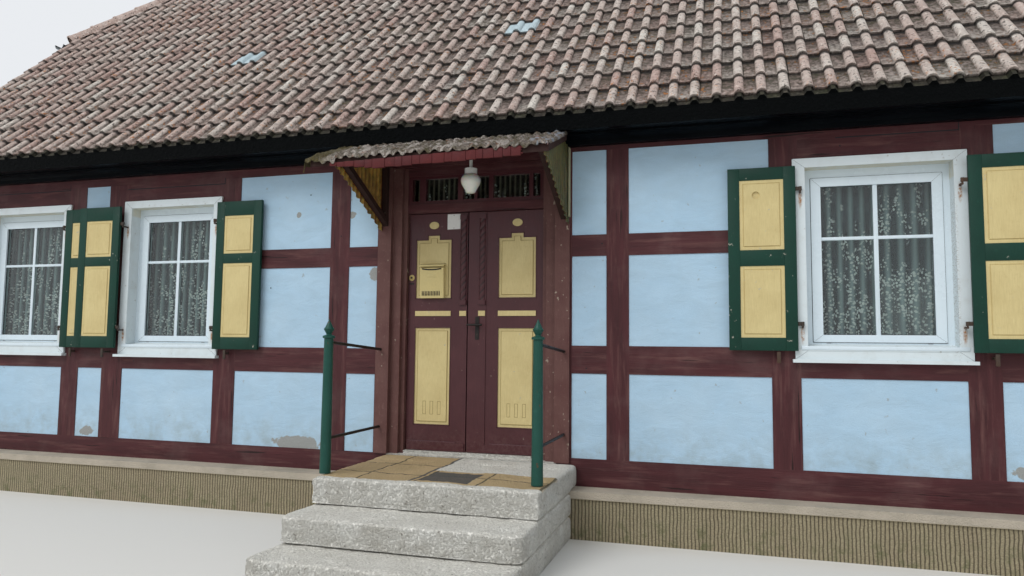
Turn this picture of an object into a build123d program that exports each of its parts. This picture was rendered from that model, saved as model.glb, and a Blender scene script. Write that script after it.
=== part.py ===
"""Half-timbered cottage: timber frame with plastered panels, tiled half-hip roof,
shuttered windows, a panelled double front door under a small canopy, and stone steps.

Millimetres. X runs along the front, Y into the house, Z up from the ground.
The origin is on the ground in the plane of the front wall, on the door's axis.
"""
import os
from math import atan, ceil, cos, hypot, radians, sin, tan

from build123d import *

os.makedirs("parts", exist_ok=True)

# House body
half_length = 6700
house_depth = 8000
wall = 160
panel_recess = 6

# Levels above the ground
plinth_top = 375
sill_top = 555
lower_rail_bottom = 1244
lower_rail_top = 1473
upper_rail_bottom = 2215
upper_rail_top = 2394
lintel_bottom = 2872
plate_bottom = 3105
plate_top = 3285
beam_height = 180
settling = 43                    # the right half of the front stands this much higher

# Front wall, bay and post widths counted from the door to the corner
door_half = 897
door_post = 129
left_bays = [286, 990, 1084, 301, 1122]
left_posts = [194, 242, 252, 217, 215]
right_bays = [289, 1091, 1117, 301, 1122]
right_posts = [184, 211, 215, 215, 215]
window_bays = (2, 4)
corner_post = 260

# Gable walls, bay and post widths counted from the centre post outwards
gable_bays = [900, 1100, 1140]
gable_post = 200
gable_window_bay = 1
gable_rail_height = 1050         # from the tie beam up to the rail in the gable
gable_rail = 180

# Plinth and floor
plinth_out = 200
plinth_thick = 450
plinth_lip = 60
plinth_lip_out = 15
floor_thick = 200

# Roof
main_pitch = 45
hip_pitch = 51
eave_out = 350
eave_z = 3365
verge_out = 153
hip_slope_start = 3370           # along the slope, from the eave to the half hip
tile_layer = 90
rafter_depth = 140
rafter_width = 100
rafter_gaps = 14
cap_radius = 110
hip_cap_radius = 106
cap_knob_radius = 114            # where ridge and hips meet
roof_margin = 1000               # how far the cutting bodies reach past the roof

# Rolls of the tiles, one up the slope beside each pan
roll_count = 84                  # along one side of the roof
roll_width = 78
roll_height = 32
roll_flank = 56                  # angle of a roll's sides
roll_sunk = 5                    # how much of a roll lies in the slab
roll_beside = 1                  # from a roll's foot to the next tile
roll_end_gap = 108               # in plan, from the ridge and hips to the ends of the rolls

# Eaves cornice: how far each moulding stands out, and its height above the foot
cornice_bottom = 3185
cornice_out = 300
fillet_out = 60
fillet_height = 37
cove_out = 165
cove_height = 65
crown_out = 210
crown_height = 77
cove_bend = (0.35, 0.85)         # where the cove's arc passes, as parts of its width and height
crown_bend = (10, 6)             # how far the crown's arc bends from its middle

# Gutter of the half hips
gutter_radius = 75
gutter_wall = 5
gutter_past_hip = 120
seat_gap = 0.2                   # where a curved piece rests against another

# Windows
casing_thick = 20
casing_side = 90
casing_top = 72
casing_bottom = 65
casing_lap_side = 40
casing_lap_top = 58
casing_lap_bottom = 86
frame_side = 100
frame_top = 80
frame_bottom = 45
frame_set_back = 100
frame_thick = 60
sash_side = 72
sash_top = 68
sash_bottom = 56
sash_set_back = 90
glass_thick = 24
sill_nose = 24                   # how far the sloping sill stands out, clear of closed shutters
sill_drop = 15                   # its top at the nose, below the opening
sill_lift = 4                    # its top at the wall's face, above the opening
sill_rise = 30                   # and at the frame, above it
ledge_out = 60
ledge_thick = 25
ledge_past = 20

# Shutters
shutter_width = 500
shutter_thick = 30
shutter_stile = 88
shutter_above_ledge = 62
shutter_height = 1418
left_fields = [(115, 819), (914, 1279)]      # yellow fields above the shutter's foot
right_fields = [(99, 650), (775, 1321)]
field_margin = 24
panel_raise = 6
finger_hole_radius = 32
finger_hole_drop = 150           # from the shutter's top to the half-moon hole
hinge_back = 36                  # from the casing's inner edge to the hinge pin
hinge_arm = 35                   # from the hinge pin to the shutter's edge
shutter_gap = 30                 # between wall and shutter
front_shutter_gap = 70           # where one shutter lies over another
pin_radius = 6
pin_clearance = 0.3
eye_wall = 6
eye_height = 30
eye_inset = 190
hinge_plate = 6
shank_heights = (19, 5)           # of a pin's shank, down from its eye: foot and top

# Front door
door_opening = 633
door_bottom = 585
door_top = 2692
leaf_set_back = 100
leaf_thick = 45
leaf_split = -60
leaf_gap = 5
middle_gap = 9                   # between the two leaves
transom_height = 81
transom_front = 60
transom_back = 150
fanlight_bottom = 2805
fanlight_top = 3031
fanlight_panes = [(-596, -527), (-468, -158), (-110, 0), (22, 134), (172, 501), (537, 600)]
fanlight_set_back = 75
fanlight_thick = 40
fanlight_head = 25
fanlight_glass = 6
# Stepped jamb of the door, from the wall inwards: across and into the wall
jamb_steps = [(881, 0), (881, -25), (755, -25), (755, 20), (670, 20), (670, 60)]
jamb_back = 768

# Panels of the door leaves
panel_centres = {"left": -387, "right": 393}
panel_half = 170
pocket_depth = 14
panel_thick = 8
field_in = 30                    # from a panel's edge to its raised field
field_raise = 5
upper_panel = (1923, 2453)
panel_tab = (58, 2493)           # half its width, and its top
band_panel = (1767, 1812)
lower_panel = (808, 1665)
oval_z = 2582
oval_radii = (45, 33)
oval_raise = 8
square_half = 31
kick_board_top = 655
kick_board_thick = 9
kick_board_in = 12

# Half columns on plain strips beside the meeting stiles
column_x = {"left": -103, "right": 75}
column_radius = 30
column_flat = 8                  # how much of the column is sunk in the leaf
column_foot = 1905
column_head = 2625
column_block = 40
cover_strip = (-52, 112)
cover_strip_thick = 7

# Handle, letter box and number plate
handle_plate = (18, 52, 1560, 1760)
handle_plate_thick = 6
handle_z = 1688
handle_x = 35
lever_radius = 9
lever_reach = (-48, 92)
lever_out = 45
letter_box_span = (-500, -274)
letter_box_z = (1925, 2222)
letter_box_out = (40, 50)        # depth at its foot and at its lid's edge
letter_box_lid = (60, 30)        # the lid's edge, foot and top below the box's top
plate_span = (-260, -138, 2542, 2678)
plate_thick = 5

# Hinges of the door leaves, on their room side
hinge_in = 8
hinge_axis_back = 20
hinge_leaf = 60
hinge_eye = 60
lower_hinge = 250
upper_hinge = 350
hinge_foot = (30, 12)            # of the plate under an eye: foot and top below it
pin_past = 20                    # how much longer a pin is than its eye

# Canopy
canopy_left = -1083
canopy_right = 897
canopy_front = 850
canopy_front_z = 2995
canopy_pitch = 22
canopy_back = 230
canopy_thick = 55
canopy_side_left = -833
canopy_side_right = 857
canopy_side_front = 810
canopy_side_top = 3178           # at the wall, below the cornice
canopy_wall = 25                 # the jambs' face, which the sides stand against
canopy_foot_z = 2570
canopy_timber = 50
sheet_thick = 5
fascia_height = 70
fascia_thick = 24
fascia_left_in = 60
fascia_right = 597

# Porch lamp
lamp_x = 97
lamp_y = -300
globe_bottom = 2770
globe_top = 2935
globe_radius = 82
globe_neck = 48
globe_shoulder = 70              # how far below its top the globe is widest
globe_base = (0.55, 22)          # part of its radius, and how high it is there
collar_radius = 52
collar_height = 45
stem_radius = 14

# Steps and landing
steps_left = -775
steps_right = 947
landing_front = 1220
landing_low = 361
step_front = [1640, 2010]
step_low = 185
step_corner = 90
step_edge = 22
landing_below_sill = 5

# Railing
rail_post_left = (-753, -1050)
rail_post_right = (867, -1000)
rail_post_shaft = 1000
foot_radius = 42
neck_radius = 34
finial = [(46, 5), (46, 20), (20, 30), (20, 36), (40, 72), (30, 84), (0, 150)]
rail_bar_radius = 12
rail_wall = (835, 25)            # where the bars meet the jambs
rail_levels = [(1524, 1465), (803, 787)]     # at the post and at the wall

ridge_y = house_depth / 2
verge_x = half_length + verge_out
ridge_z = eave_z + (ridge_y + eave_out) * tan(radians(main_pitch))
hip_eave_z = eave_z + hip_slope_start * sin(radians(main_pitch))
hip_run = (ridge_z - hip_eave_z) / tan(radians(hip_pitch))
hip_y = hip_slope_start * cos(radians(main_pitch)) - eave_out
beam_top = plate_top + beam_height


def write(piece, name):
    """Labels a finished piece and writes its file."""
    piece.part.label = name
    export_step(piece.part, f"parts/{name}.step")


def block(x0, x1, y0, y1, z0, z1, mode=Mode.ADD):
    """Squared block between two corners."""
    with Locations(((x0 + x1) / 2, (y0 + y1) / 2, (z0 + z1) / 2)):
        Box(x1 - x0, y1 - y0, z1 - z0, mode=mode)


def rect(u0, u1, v0, v1, mode=Mode.ADD):
    """Rectangle between two corners of the sketch in progress."""
    with Locations(((u0 + u1) / 2, (v0 + v1) / 2)):
        Rectangle(u1 - u0, v1 - v0, mode=mode)


# Wall planes: u runs to the right seen from outside, v up, the normal outwards
front_plane = Plane(origin=(0, 0, 0), x_dir=(1, 0, 0), z_dir=(0, -1, 0))
back_plane = Plane(origin=(0, house_depth, 0), x_dir=(-1, 0, 0), z_dir=(0, 1, 0))
left_plane = Plane(origin=(-half_length, ridge_y, 0), x_dir=(0, -1, 0), z_dir=(-1, 0, 0))
right_plane = Plane(origin=(half_length, ridge_y, 0), x_dir=(0, 1, 0), z_dir=(1, 0, 0))


def spread(start, bays, posts, end_post, end):
    """Bays and posts of half a wall, each as its inner and outer edge."""
    bay_edges = []
    post_edges = []
    at = start
    for bay, post in zip(bays, posts):
        bay_edges.append((at, at + bay))
        post_edges.append((at + bay, at + bay + post))
        at += bay + post
    bay_edges.append((at, end - end_post))
    post_edges.append((end - end_post, end))
    return bay_edges, post_edges


def mirrored(edges):
    """The same spans on the other side of the axis."""
    return [(-outer, -inner) for inner, outer in edges]


left_bay_edges, left_post_edges = spread(door_half, left_bays, left_posts, corner_post, half_length)
right_bay_edges, right_post_edges = spread(door_half, right_bays, right_posts, corner_post, half_length)
door_posts = [(door_half - door_post, door_half)]


def half_wall(bays, posts, rise, windows):
    """Posts, rails, sill and window openings of one half of a long wall."""
    timbers = {"posts": [], "rails": [], "windows": []}
    for u0, u1 in posts:
        timbers["posts"].append((u0, u1, sill_top + rise, plate_bottom + rise))
    for u0, u1 in bays:
        timbers["rails"].append((u0, u1, lower_rail_bottom + rise, lower_rail_top + rise))
        if (u0, u1) in windows:
            timbers["rails"].append((u0, u1, lintel_bottom + rise, plate_bottom + rise))
            timbers["windows"].append((u0, u1, lower_rail_top + rise, lintel_bottom + rise))
        else:
            timbers["rails"].append((u0, u1, upper_rail_bottom + rise, upper_rail_top + rise))
    return timbers


def joined(*halves):
    """One wall from its two halves."""
    return {key: sum((half[key] for half in halves), []) for key in halves[0]}


left_bays_front = mirrored(left_bay_edges)
left_windows = [left_bays_front[index] for index in window_bays]
right_windows = [right_bay_edges[index] for index in window_bays]
front_left = half_wall(left_bays_front, mirrored(left_post_edges + door_posts), 0, left_windows)
front_right = half_wall(right_bay_edges, right_post_edges + door_posts, settling, right_windows)
front = joined(front_left, front_right)

# The back repeats the front's left half on both sides of a plain middle bay
back_middle = (-door_half, door_half)
back_left = half_wall(left_bays_front, mirrored(left_post_edges), 0, left_windows)
back_right = half_wall(left_bay_edges, left_post_edges, 0, [left_bay_edges[i] for i in window_bays])
back_centre = half_wall([back_middle], [], 0, [])
back = joined(back_left, back_right, back_centre)

gable_half = ridge_y - wall
gable_start = gable_post / 2
gable_bay_edges, gable_post_edges = spread(
    gable_start, gable_bays[:-1], [gable_post] * 2, gable_post, gable_half)
gable_right_windows = [gable_bay_edges[gable_window_bay]]
gable_left_windows = mirrored(gable_right_windows)
gable = joined(
    half_wall(mirrored(gable_bay_edges), mirrored(gable_post_edges), 0, gable_left_windows),
    half_wall(gable_bay_edges, gable_post_edges + [(-gable_start, gable_start)], 0, gable_right_windows))


def under_rafters(z):
    """Half the width between the rafters at a height."""
    drop = (tile_layer + rafter_depth) / cos(radians(main_pitch))
    return ridge_y + eave_out - (z - eave_z + drop) / tan(radians(main_pitch))


gable_top = (hip_eave_z + verge_out * tan(radians(hip_pitch))
             - (tile_layer + rafter_depth) / cos(radians(hip_pitch)))


def gable_outline(mode=Mode.ADD):
    """The gable's upper part between the rafters, above the tie beam."""
    low = under_rafters(beam_top)
    high = under_rafters(gable_top)
    with BuildLine() as edge:
        Polyline((-low, beam_top), (low, beam_top), (high, gable_top), (-high, gable_top), close=True)
    make_face(edge.edges(), mode=mode)


def timber_node(plane, spans, name):
    """Squared timbers of one wall, flush with its face."""
    with BuildPart() as timbers:
        with BuildSketch(plane):
            for u0, u1, v0, v1 in spans:
                rect(u0, u1, v0, v1)
        extrude(amount=-wall)
    write(timbers, name)


def panel_node(plane, wall_parts, spans, name):
    """Plastered panels: what the timbers and the openings leave of the wall."""
    with BuildPart() as panels:
        with BuildSketch(plane.offset(-panel_recess)):
            for u0, u1, v0, v1 in spans:
                rect(u0, u1, v0, v1)
            for u0, u1, v0, v1 in wall_parts:
                rect(u0, u1, v0, v1, mode=Mode.SUBTRACT)
        extrude(amount=-(wall - 2 * panel_recess))
    write(panels, name)


# Timber frame of the front wall
front_sills = [
    (-half_length, -(door_half - door_post), plinth_top, sill_top),
    (door_half - door_post, half_length, plinth_top, sill_top + settling)]
front_plates = [
    (-half_length, door_half - door_post, plate_bottom, plate_top),
    (door_half - door_post, half_length, plate_bottom + settling, plate_top)]
timber_node(front_plane, front_sills, "front_sill_beams")
timber_node(front_plane, front["posts"], "front_posts")
timber_node(front_plane, front["rails"], "front_rails")
with BuildPart() as front_plate:
    with BuildSketch(front_plane):
        for span in front_plates:
            rect(*span)
    extrude(amount=-wall)
write(front_plate, "front_wall_plate")
front_fill = [
    (-half_length, -door_half, sill_top, plate_bottom),
    (door_half, half_length, sill_top + settling, plate_bottom + settling)]
panel_node(front_plane, front["posts"] + front["rails"] + front["windows"], front_fill, "front_panels")

# Timber frame of the back wall
back_beams = [
    (-half_length, half_length, plinth_top, sill_top),
    (-half_length, half_length, plate_bottom, plate_top)]
timber_node(back_plane, back_beams, "back_beams")
timber_node(back_plane, back["posts"], "back_posts")
timber_node(back_plane, back["rails"], "back_rails")
panel_node(back_plane, back["posts"] + back["rails"] + back["windows"],
           [(-half_length, half_length, sill_top, plate_bottom)], "back_panels")

# Timber frames of the gable walls
gable_tie = [(-gable_half, gable_half, plate_bottom, beam_top)]
gable_sill = [(-gable_half, gable_half, plinth_top, sill_top)]
rail_z = beam_top + gable_rail_height
gable_rails_up = [
    (-ridge_y, ridge_y, rail_z, rail_z + gable_rail),
    (-ridge_y, ridge_y, gable_top - gable_rail, gable_top)]
gable_posts_up = [(u0, u1, beam_top, gable_top) for u0, u1, v0, v1 in gable["posts"]]


def gable_timbers(plain, trimmed, cuts, name):
    """Timbers of both gables: squared ones, and ones trimmed to the rafters."""
    with BuildPart() as timbers:
        for plane in (left_plane, right_plane):
            with BuildSketch(plane):
                for span in plain:
                    rect(*span)
            extrude(amount=-wall)
            if trimmed:
                with BuildSketch(plane):
                    for span in trimmed:
                        rect(*span)
                    for span in cuts:
                        rect(*span, mode=Mode.SUBTRACT)
                    gable_outline(mode=Mode.INTERSECT)
                extrude(amount=-wall)
    write(timbers, name)


gable_timbers(gable_sill + gable_tie, [], [], "gable_beams")
gable_timbers(gable["posts"], gable_posts_up, gable_rails_up, "gable_posts")
gable_timbers(gable["rails"], gable_rails_up, [], "gable_rails")
with BuildPart() as gable_panels:
    for plane in (left_plane, right_plane):
        with BuildSketch(plane.offset(-panel_recess)):
            rect(-gable_half, gable_half, sill_top, plate_bottom)
            gable_outline()
            for span in gable["posts"] + gable["rails"] + gable["windows"] + gable_posts_up + gable_rails_up:
                rect(*span, mode=Mode.SUBTRACT)
        extrude(amount=-(wall - 2 * panel_recess))
write(gable_panels, "gable_panels")

# Plinth walls with a projecting lip along the top
plinth_length = half_length + plinth_out
side_end = ridge_y + plinth_out - plinth_thick


def plinth_node(planes, end, lip_end, name):
    """Straight plinth walls, one on each plane."""
    with BuildPart() as plinth:
        for plane in planes:
            with BuildSketch(plane.offset(plinth_out)):
                rect(-end, end, 0, plinth_top)
            extrude(amount=-plinth_thick)
            with BuildSketch(plane.offset(plinth_out + plinth_lip_out)):
                rect(-lip_end, lip_end, plinth_top - plinth_lip, plinth_top)
            extrude(amount=-(plinth_lip_out + plinth_lip))
    write(plinth, name)


plinth_node([front_plane], plinth_length, plinth_length + plinth_lip_out, "front_plinth")
plinth_node([back_plane], plinth_length, plinth_length + plinth_lip_out, "back_plinth")
plinth_node([left_plane, right_plane], side_end, side_end, "side_plinths")

# Ground floor between the sill beams
with BuildPart() as floor:
    block(-half_length + wall, half_length - wall, wall, house_depth - wall,
          plinth_top, plinth_top + floor_thick)
write(floor, "ground_floor")

# Ceiling beams from wall to wall
beam_gaps = rafter_gaps
beam_pitch = (2 * half_length - wall) / beam_gaps
with BuildPart() as beams:
    for index in range(1, beam_gaps):
        x = -half_length + wall / 2 + index * beam_pitch
        block(x - wall / 2, x + wall / 2, 0, house_depth, plate_top, beam_top)
write(beams, "ceiling_beams")


def roof_body(drop, reach):
    """All that lies under the roof planes when each is lowered square to itself."""
    main_drop = drop / cos(radians(main_pitch))
    hip_drop = drop / cos(radians(hip_pitch))
    low = eave_z - roof_margin
    with BuildPart() as body:
        with BuildSketch(Plane.YZ.offset(-reach)):
            with BuildLine():
                Polyline(
                    (-eave_out, low), (-eave_out, eave_z - main_drop),
                    (ridge_y, ridge_z - main_drop),
                    (house_depth + eave_out, eave_z - main_drop),
                    (house_depth + eave_out, low), close=True)
            make_face()
        extrude(amount=2 * reach)
        rise = ridge_z - hip_eave_z + roof_margin
        run = rise / tan(radians(hip_pitch))
        back_run = roof_margin / tan(radians(hip_pitch))
        z = hip_eave_z - hip_drop
        for sign in (-1, 1):
            with BuildSketch(Plane.XZ.offset(-house_depth - 2 * eave_out)):
                with BuildLine():
                    Polyline(
                        (sign * (verge_x + back_run), z - roof_margin),
                        (sign * (verge_x - run), z + rise),
                        (sign * (verge_x + back_run), z + rise), close=True)
                make_face()
            extrude(amount=house_depth + 4 * eave_out, mode=Mode.SUBTRACT)
    return body


def hip_prism(sign, past=0):
    """Upright prism over the plan of one half hip, widened past its two hips."""
    plan_length = hypot(hip_run, ridge_y - hip_y)
    start = hip_y - past * plan_length / hip_run
    peak = verge_x - hip_run - past * plan_length / (ridge_y - hip_y)
    outside = verge_x + gutter_radius
    with BuildPart() as prism:
        with BuildSketch(Plane.XY.offset(eave_z)):
            with BuildLine():
                Polyline((sign * outside, start), (sign * verge_x, start), (sign * peak, ridge_y),
                         (sign * verge_x, house_depth - start), (sign * outside, house_depth - start), close=True)
            make_face()
        extrude(amount=ridge_z - eave_z + roof_margin)
    return prism


roof_outside = roof_body(0, verge_x)
roof_underside = roof_body(tile_layer, verge_x + roof_margin)
rafter_underside = roof_body(tile_layer + rafter_depth, verge_x + roof_margin)
with BuildPart() as roof_shell:
    add(roof_outside.part)
    add(roof_underside.part, mode=Mode.SUBTRACT)
hip_left = hip_prism(-1)
hip_right = hip_prism(1)



def tile_rolls(foot, across, up, eave_length, length):
    """Rolls of the tiles up one slope, from a corner of its eave."""
    pitch = 2 * verge_x / roll_count
    first = pitch - roll_width / 2 - roll_beside
    spots = [(first + index * pitch, (roll_sunk - roll_height) / 2) for index in range(ceil(eave_length / pitch))]
    with BuildPart() as rolls:
        with BuildSketch(Plane(origin=foot, x_dir=across, z_dir=up)) as ends:
            with Locations(*spots):
                Trapezoid(roll_width, roll_height + roll_sunk, roll_flank, rotation=180)
        extrude(ends.sketch, amount=length)
    return rolls


# Roof slopes, each a slab of battens and tiles with the tiles' rolls
far = half_length * 2
past_hip_left = hip_prism(-1, roll_end_gap)
past_hip_right = hip_prism(1, roll_end_gap)
slope_length = (ridge_y + eave_out) / cos(radians(main_pitch))
for side, y0, y1, sign in (("front", ridge_y, far, 1), ("back", -far, ridge_y, -1)):
    eave_y = -eave_out if sign == 1 else house_depth + eave_out
    uphill = (0, sign * cos(radians(main_pitch)), sin(radians(main_pitch)))
    rolls = tile_rolls((-sign * verge_x, eave_y, eave_z), (sign, 0, 0), uphill, 2 * verge_x, slope_length)
    with BuildPart() as slope:
        add(rolls.part)
        block(-far, far, y0 - sign * roll_end_gap, y1 - sign * roll_end_gap, 0, far, mode=Mode.SUBTRACT)
        add(past_hip_left.part, mode=Mode.SUBTRACT)
        add(past_hip_right.part, mode=Mode.SUBTRACT)
        with BuildPart(mode=Mode.PRIVATE) as slab:
            add(roof_shell.part)
            block(-far, far, y0, y1, 0, far, mode=Mode.SUBTRACT)
            add(hip_left.part, mode=Mode.SUBTRACT)
            add(hip_right.part, mode=Mode.SUBTRACT)
        add(slab.part)
    write(slope, f"roof_{side}_slope")
with BuildPart() as hips:
    for sign in (-1, 1):
        foot = (sign * verge_x, ridge_y - sign * (ridge_y - hip_y), hip_eave_z)
        uphill = (-sign * cos(radians(hip_pitch)), 0, sin(radians(hip_pitch)))
        rolls = tile_rolls(foot, (0, sign, 0), uphill, house_depth - 2 * hip_y, hip_run / cos(radians(hip_pitch)))
        with BuildPart(mode=Mode.PRIVATE) as trimmed:
            add(rolls.part)
            add(hip_prism(sign, -roll_end_gap).part, mode=Mode.INTERSECT)
        add(trimmed.part)
    with BuildPart(mode=Mode.PRIVATE) as slabs:
        add(hip_left.part)
        add(hip_right.part)
        add(roof_shell.part, mode=Mode.INTERSECT)
    add(slabs.part)
write(hips, "roof_half_hips")

# Rafters under the tiles, one row on each slope
for side, y0, y1 in (("front", 0, ridge_y), ("back", ridge_y, house_depth)):
    with BuildPart() as rafters:
        for index in range(rafter_gaps + 1):
            width = wall if index in (0, rafter_gaps) else rafter_width
            x = -half_length + wall / 2 + index * beam_pitch
            block(x - width / 2, x + width / 2, y0, y1, beam_top, ridge_z)
        add(roof_underside.part, mode=Mode.INTERSECT)
        add(rafter_underside.part, mode=Mode.SUBTRACT)
    write(rafters, f"rafters_{side}")

# Rounded cap tiles over the ridge, with a knob where the hips meet it
ridge_end = verge_x - hip_run
with BuildPart() as ridge_cap:
    with BuildSketch(Plane.YZ.offset(-ridge_end)):
        with Locations((ridge_y, ridge_z)):
            Circle(cap_radius)
    extrude(amount=2 * ridge_end)
    for sign in (-1, 1):
        with Locations((sign * ridge_end, ridge_y, ridge_z)):
            Sphere(cap_knob_radius)
    add(roof_outside.part, mode=Mode.SUBTRACT)
write(ridge_cap, "ridge_cap")

# Cap tiles down the four hips
with BuildPart() as hip_caps:
    for sign in (-1, 1):
        for y_foot in (hip_y, house_depth - hip_y):
            top = Vector(sign * ridge_end, ridge_y, ridge_z)
            foot = Vector(sign * verge_x, y_foot, hip_eave_z)
            with BuildSketch(Plane(origin=foot, z_dir=top - foot)):
                Circle(hip_cap_radius)
            extrude(amount=(top - foot).length)
    add(roof_outside.part, mode=Mode.SUBTRACT)
    add(ridge_cap.part, mode=Mode.SUBTRACT)
    for sign in (-1, 1):
        block(*sorted((sign * verge_x, sign * far)), -far, far, 0, far, mode=Mode.SUBTRACT)
write(hip_caps, "hip_caps")

# Half-round gutters under the half hips
with BuildPart() as gutters:
    for sign in (-1, 1):
        x = sign * (verge_x + gutter_radius + seat_gap)
        with BuildSketch(Plane.XZ.offset(-(house_depth - hip_y + gutter_past_hip))):
            with Locations((x, hip_eave_z - tile_layer / 2)):
                Circle(gutter_radius)
                Circle(gutter_radius - gutter_wall, mode=Mode.SUBTRACT)
                with Locations((0, gutter_radius)):
                    Rectangle(2 * gutter_radius, 2 * gutter_radius, mode=Mode.SUBTRACT)
        extrude(amount=house_depth - 2 * hip_y + 2 * gutter_past_hip)
write(gutters, "half_hip_gutters")


# Moulded eaves cornices: fillet, cove and crown, up to the underside of the tiles
tile_drop = tile_layer / cos(radians(main_pitch))
eave_rise = tan(radians(main_pitch))
crown_z = eave_z - tile_drop + (eave_out - cornice_out) * eave_rise
fillet_z = cornice_bottom + fillet_height
with BuildPart() as cornices:
    for plane in (front_plane, back_plane):
        with BuildSketch(Plane(origin=plane.origin + plane.x_dir * half_length,
                               x_dir=plane.z_dir, z_dir=-plane.x_dir)):
            with BuildLine():
                Polyline((0, cornice_bottom), (fillet_out, cornice_bottom), (fillet_out, fillet_z))
                ThreePointArc((fillet_out, fillet_z),
                              (fillet_out + (cove_out - fillet_out) * cove_bend[0],
                               cornice_bottom + cove_height * cove_bend[1]),
                              (cove_out, cornice_bottom + cove_height))
                Polyline((cove_out, cornice_bottom + cove_height), (cove_out, cornice_bottom + crown_height),
                         (crown_out, cornice_bottom + crown_height))
                ThreePointArc((crown_out, cornice_bottom + crown_height),
                              ((crown_out + cornice_out) / 2 + crown_bend[0],
                               cornice_bottom + crown_height + crown_bend[1]),
                              (cornice_out, crown_z))
                Polyline((cornice_out, crown_z), (0, crown_z + cornice_out * eave_rise), (0, cornice_bottom))
            make_face()
        extrude(amount=2 * half_length)
write(cornices, "eaves_cornices")

# Windows on all four walls
all_windows = [(front_plane, span) for span in front["windows"]]
all_windows += [(back_plane, span) for span in back["windows"]]
all_windows += [(left_plane, span) for span in gable["windows"]]
all_windows += [(right_plane, span) for span in gable["windows"]]


def inset(span, side, top, bottom):
    """A window's span made smaller on each edge."""
    u0, u1, v0, v1 = span
    return (u0 + side, u1 - side, v0 + bottom, v1 - top)


def ring_node(set_back, thick, outer_inset, inner_inset, name):
    """Rectangular rings, one in each window."""
    with BuildPart() as rings:
        for plane, span in all_windows:
            with BuildSketch(plane.offset(-set_back)):
                rect(*inset(span, *outer_inset))
                rect(*inset(span, *inner_inset), mode=Mode.SUBTRACT)
            extrude(amount=-thick)
    write(rings, name)


# Casings on the wall, with the linings that they cover
casing_outer = (-casing_lap_side, -casing_lap_top, -casing_lap_bottom)
casing_inner = (casing_side - casing_lap_side, casing_top - casing_lap_top, casing_bottom - casing_lap_bottom)
lining_inner = (casing_inner[0], casing_inner[1], 0)
with BuildPart() as casings:
    for plane, span in all_windows:
        with BuildSketch(plane.offset(casing_thick)):
            rect(*inset(span, *casing_outer))
            rect(*inset(span, *casing_inner), mode=Mode.SUBTRACT)
        extrude(amount=-casing_thick)
        with BuildSketch(plane):
            rect(*span)
            rect(*inset(span, *lining_inner), mode=Mode.SUBTRACT)
        extrude(amount=-frame_set_back)
write(casings, "window_casings")

# Window frames, each with its sash
sash_outer = (frame_side, frame_top, frame_bottom)
sash_inner = (frame_side + sash_side, frame_top + sash_top, frame_bottom + sash_bottom)
with BuildPart() as frames:
    for plane, span in all_windows:
        with BuildSketch(plane.offset(-frame_set_back)):
            rect(*span)
            rect(*inset(span, *sash_outer), mode=Mode.SUBTRACT)
        extrude(amount=-frame_thick)
        with BuildSketch(plane.offset(-sash_set_back)):
            rect(*inset(span, *sash_outer))
            rect(*inset(span, *sash_inner), mode=Mode.SUBTRACT)
        extrude(amount=-frame_thick)
write(frames, "window_frames")
with BuildPart() as panes:
    for plane, span in all_windows:
        with BuildSketch(plane.offset(-sash_set_back - (frame_thick - glass_thick) / 2)):
            rect(*inset(span, *sash_inner))
        extrude(amount=-glass_thick)
    fanlight_back = fanlight_set_back + fanlight_thick
    block(-door_opening, door_opening, fanlight_back, fanlight_back + fanlight_glass,
          door_top + transom_height, fanlight_top)
write(panes, "window_panes")

# Sloping sills inside the casings, and ledges under them
with BuildPart() as ledges:
    for plane, (u0, u1, v0, v1) in all_windows:
        reach = casing_lap_side + ledge_past
        top = v0 - casing_lap_bottom
        with BuildSketch(plane.offset(ledge_out)):
            rect(u0 - reach, u1 + reach, top - ledge_thick, top)
        extrude(amount=-ledge_out)
        band_top = v0 - casing_lap_bottom + casing_bottom
        sill_end = plane.from_local_coords((u0 + casing_inner[0], 0, 0))
        with BuildSketch(Plane(origin=sill_end, x_dir=plane.z_dir, z_dir=-plane.x_dir)):
            with BuildLine():
                Polyline((-frame_set_back, v0), (0, v0), (0, band_top), (sill_nose, band_top),
                         (sill_nose, v0 - sill_drop), (0, v0 + sill_lift), (-frame_set_back, v0 + sill_rise),
                         close=True)
            make_face()
        extrude(amount=-(u1 - u0 - 2 * casing_inner[0]))
write(ledges, "window_ledges")

# Shutters of the front windows
pintle_spots = []


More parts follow.
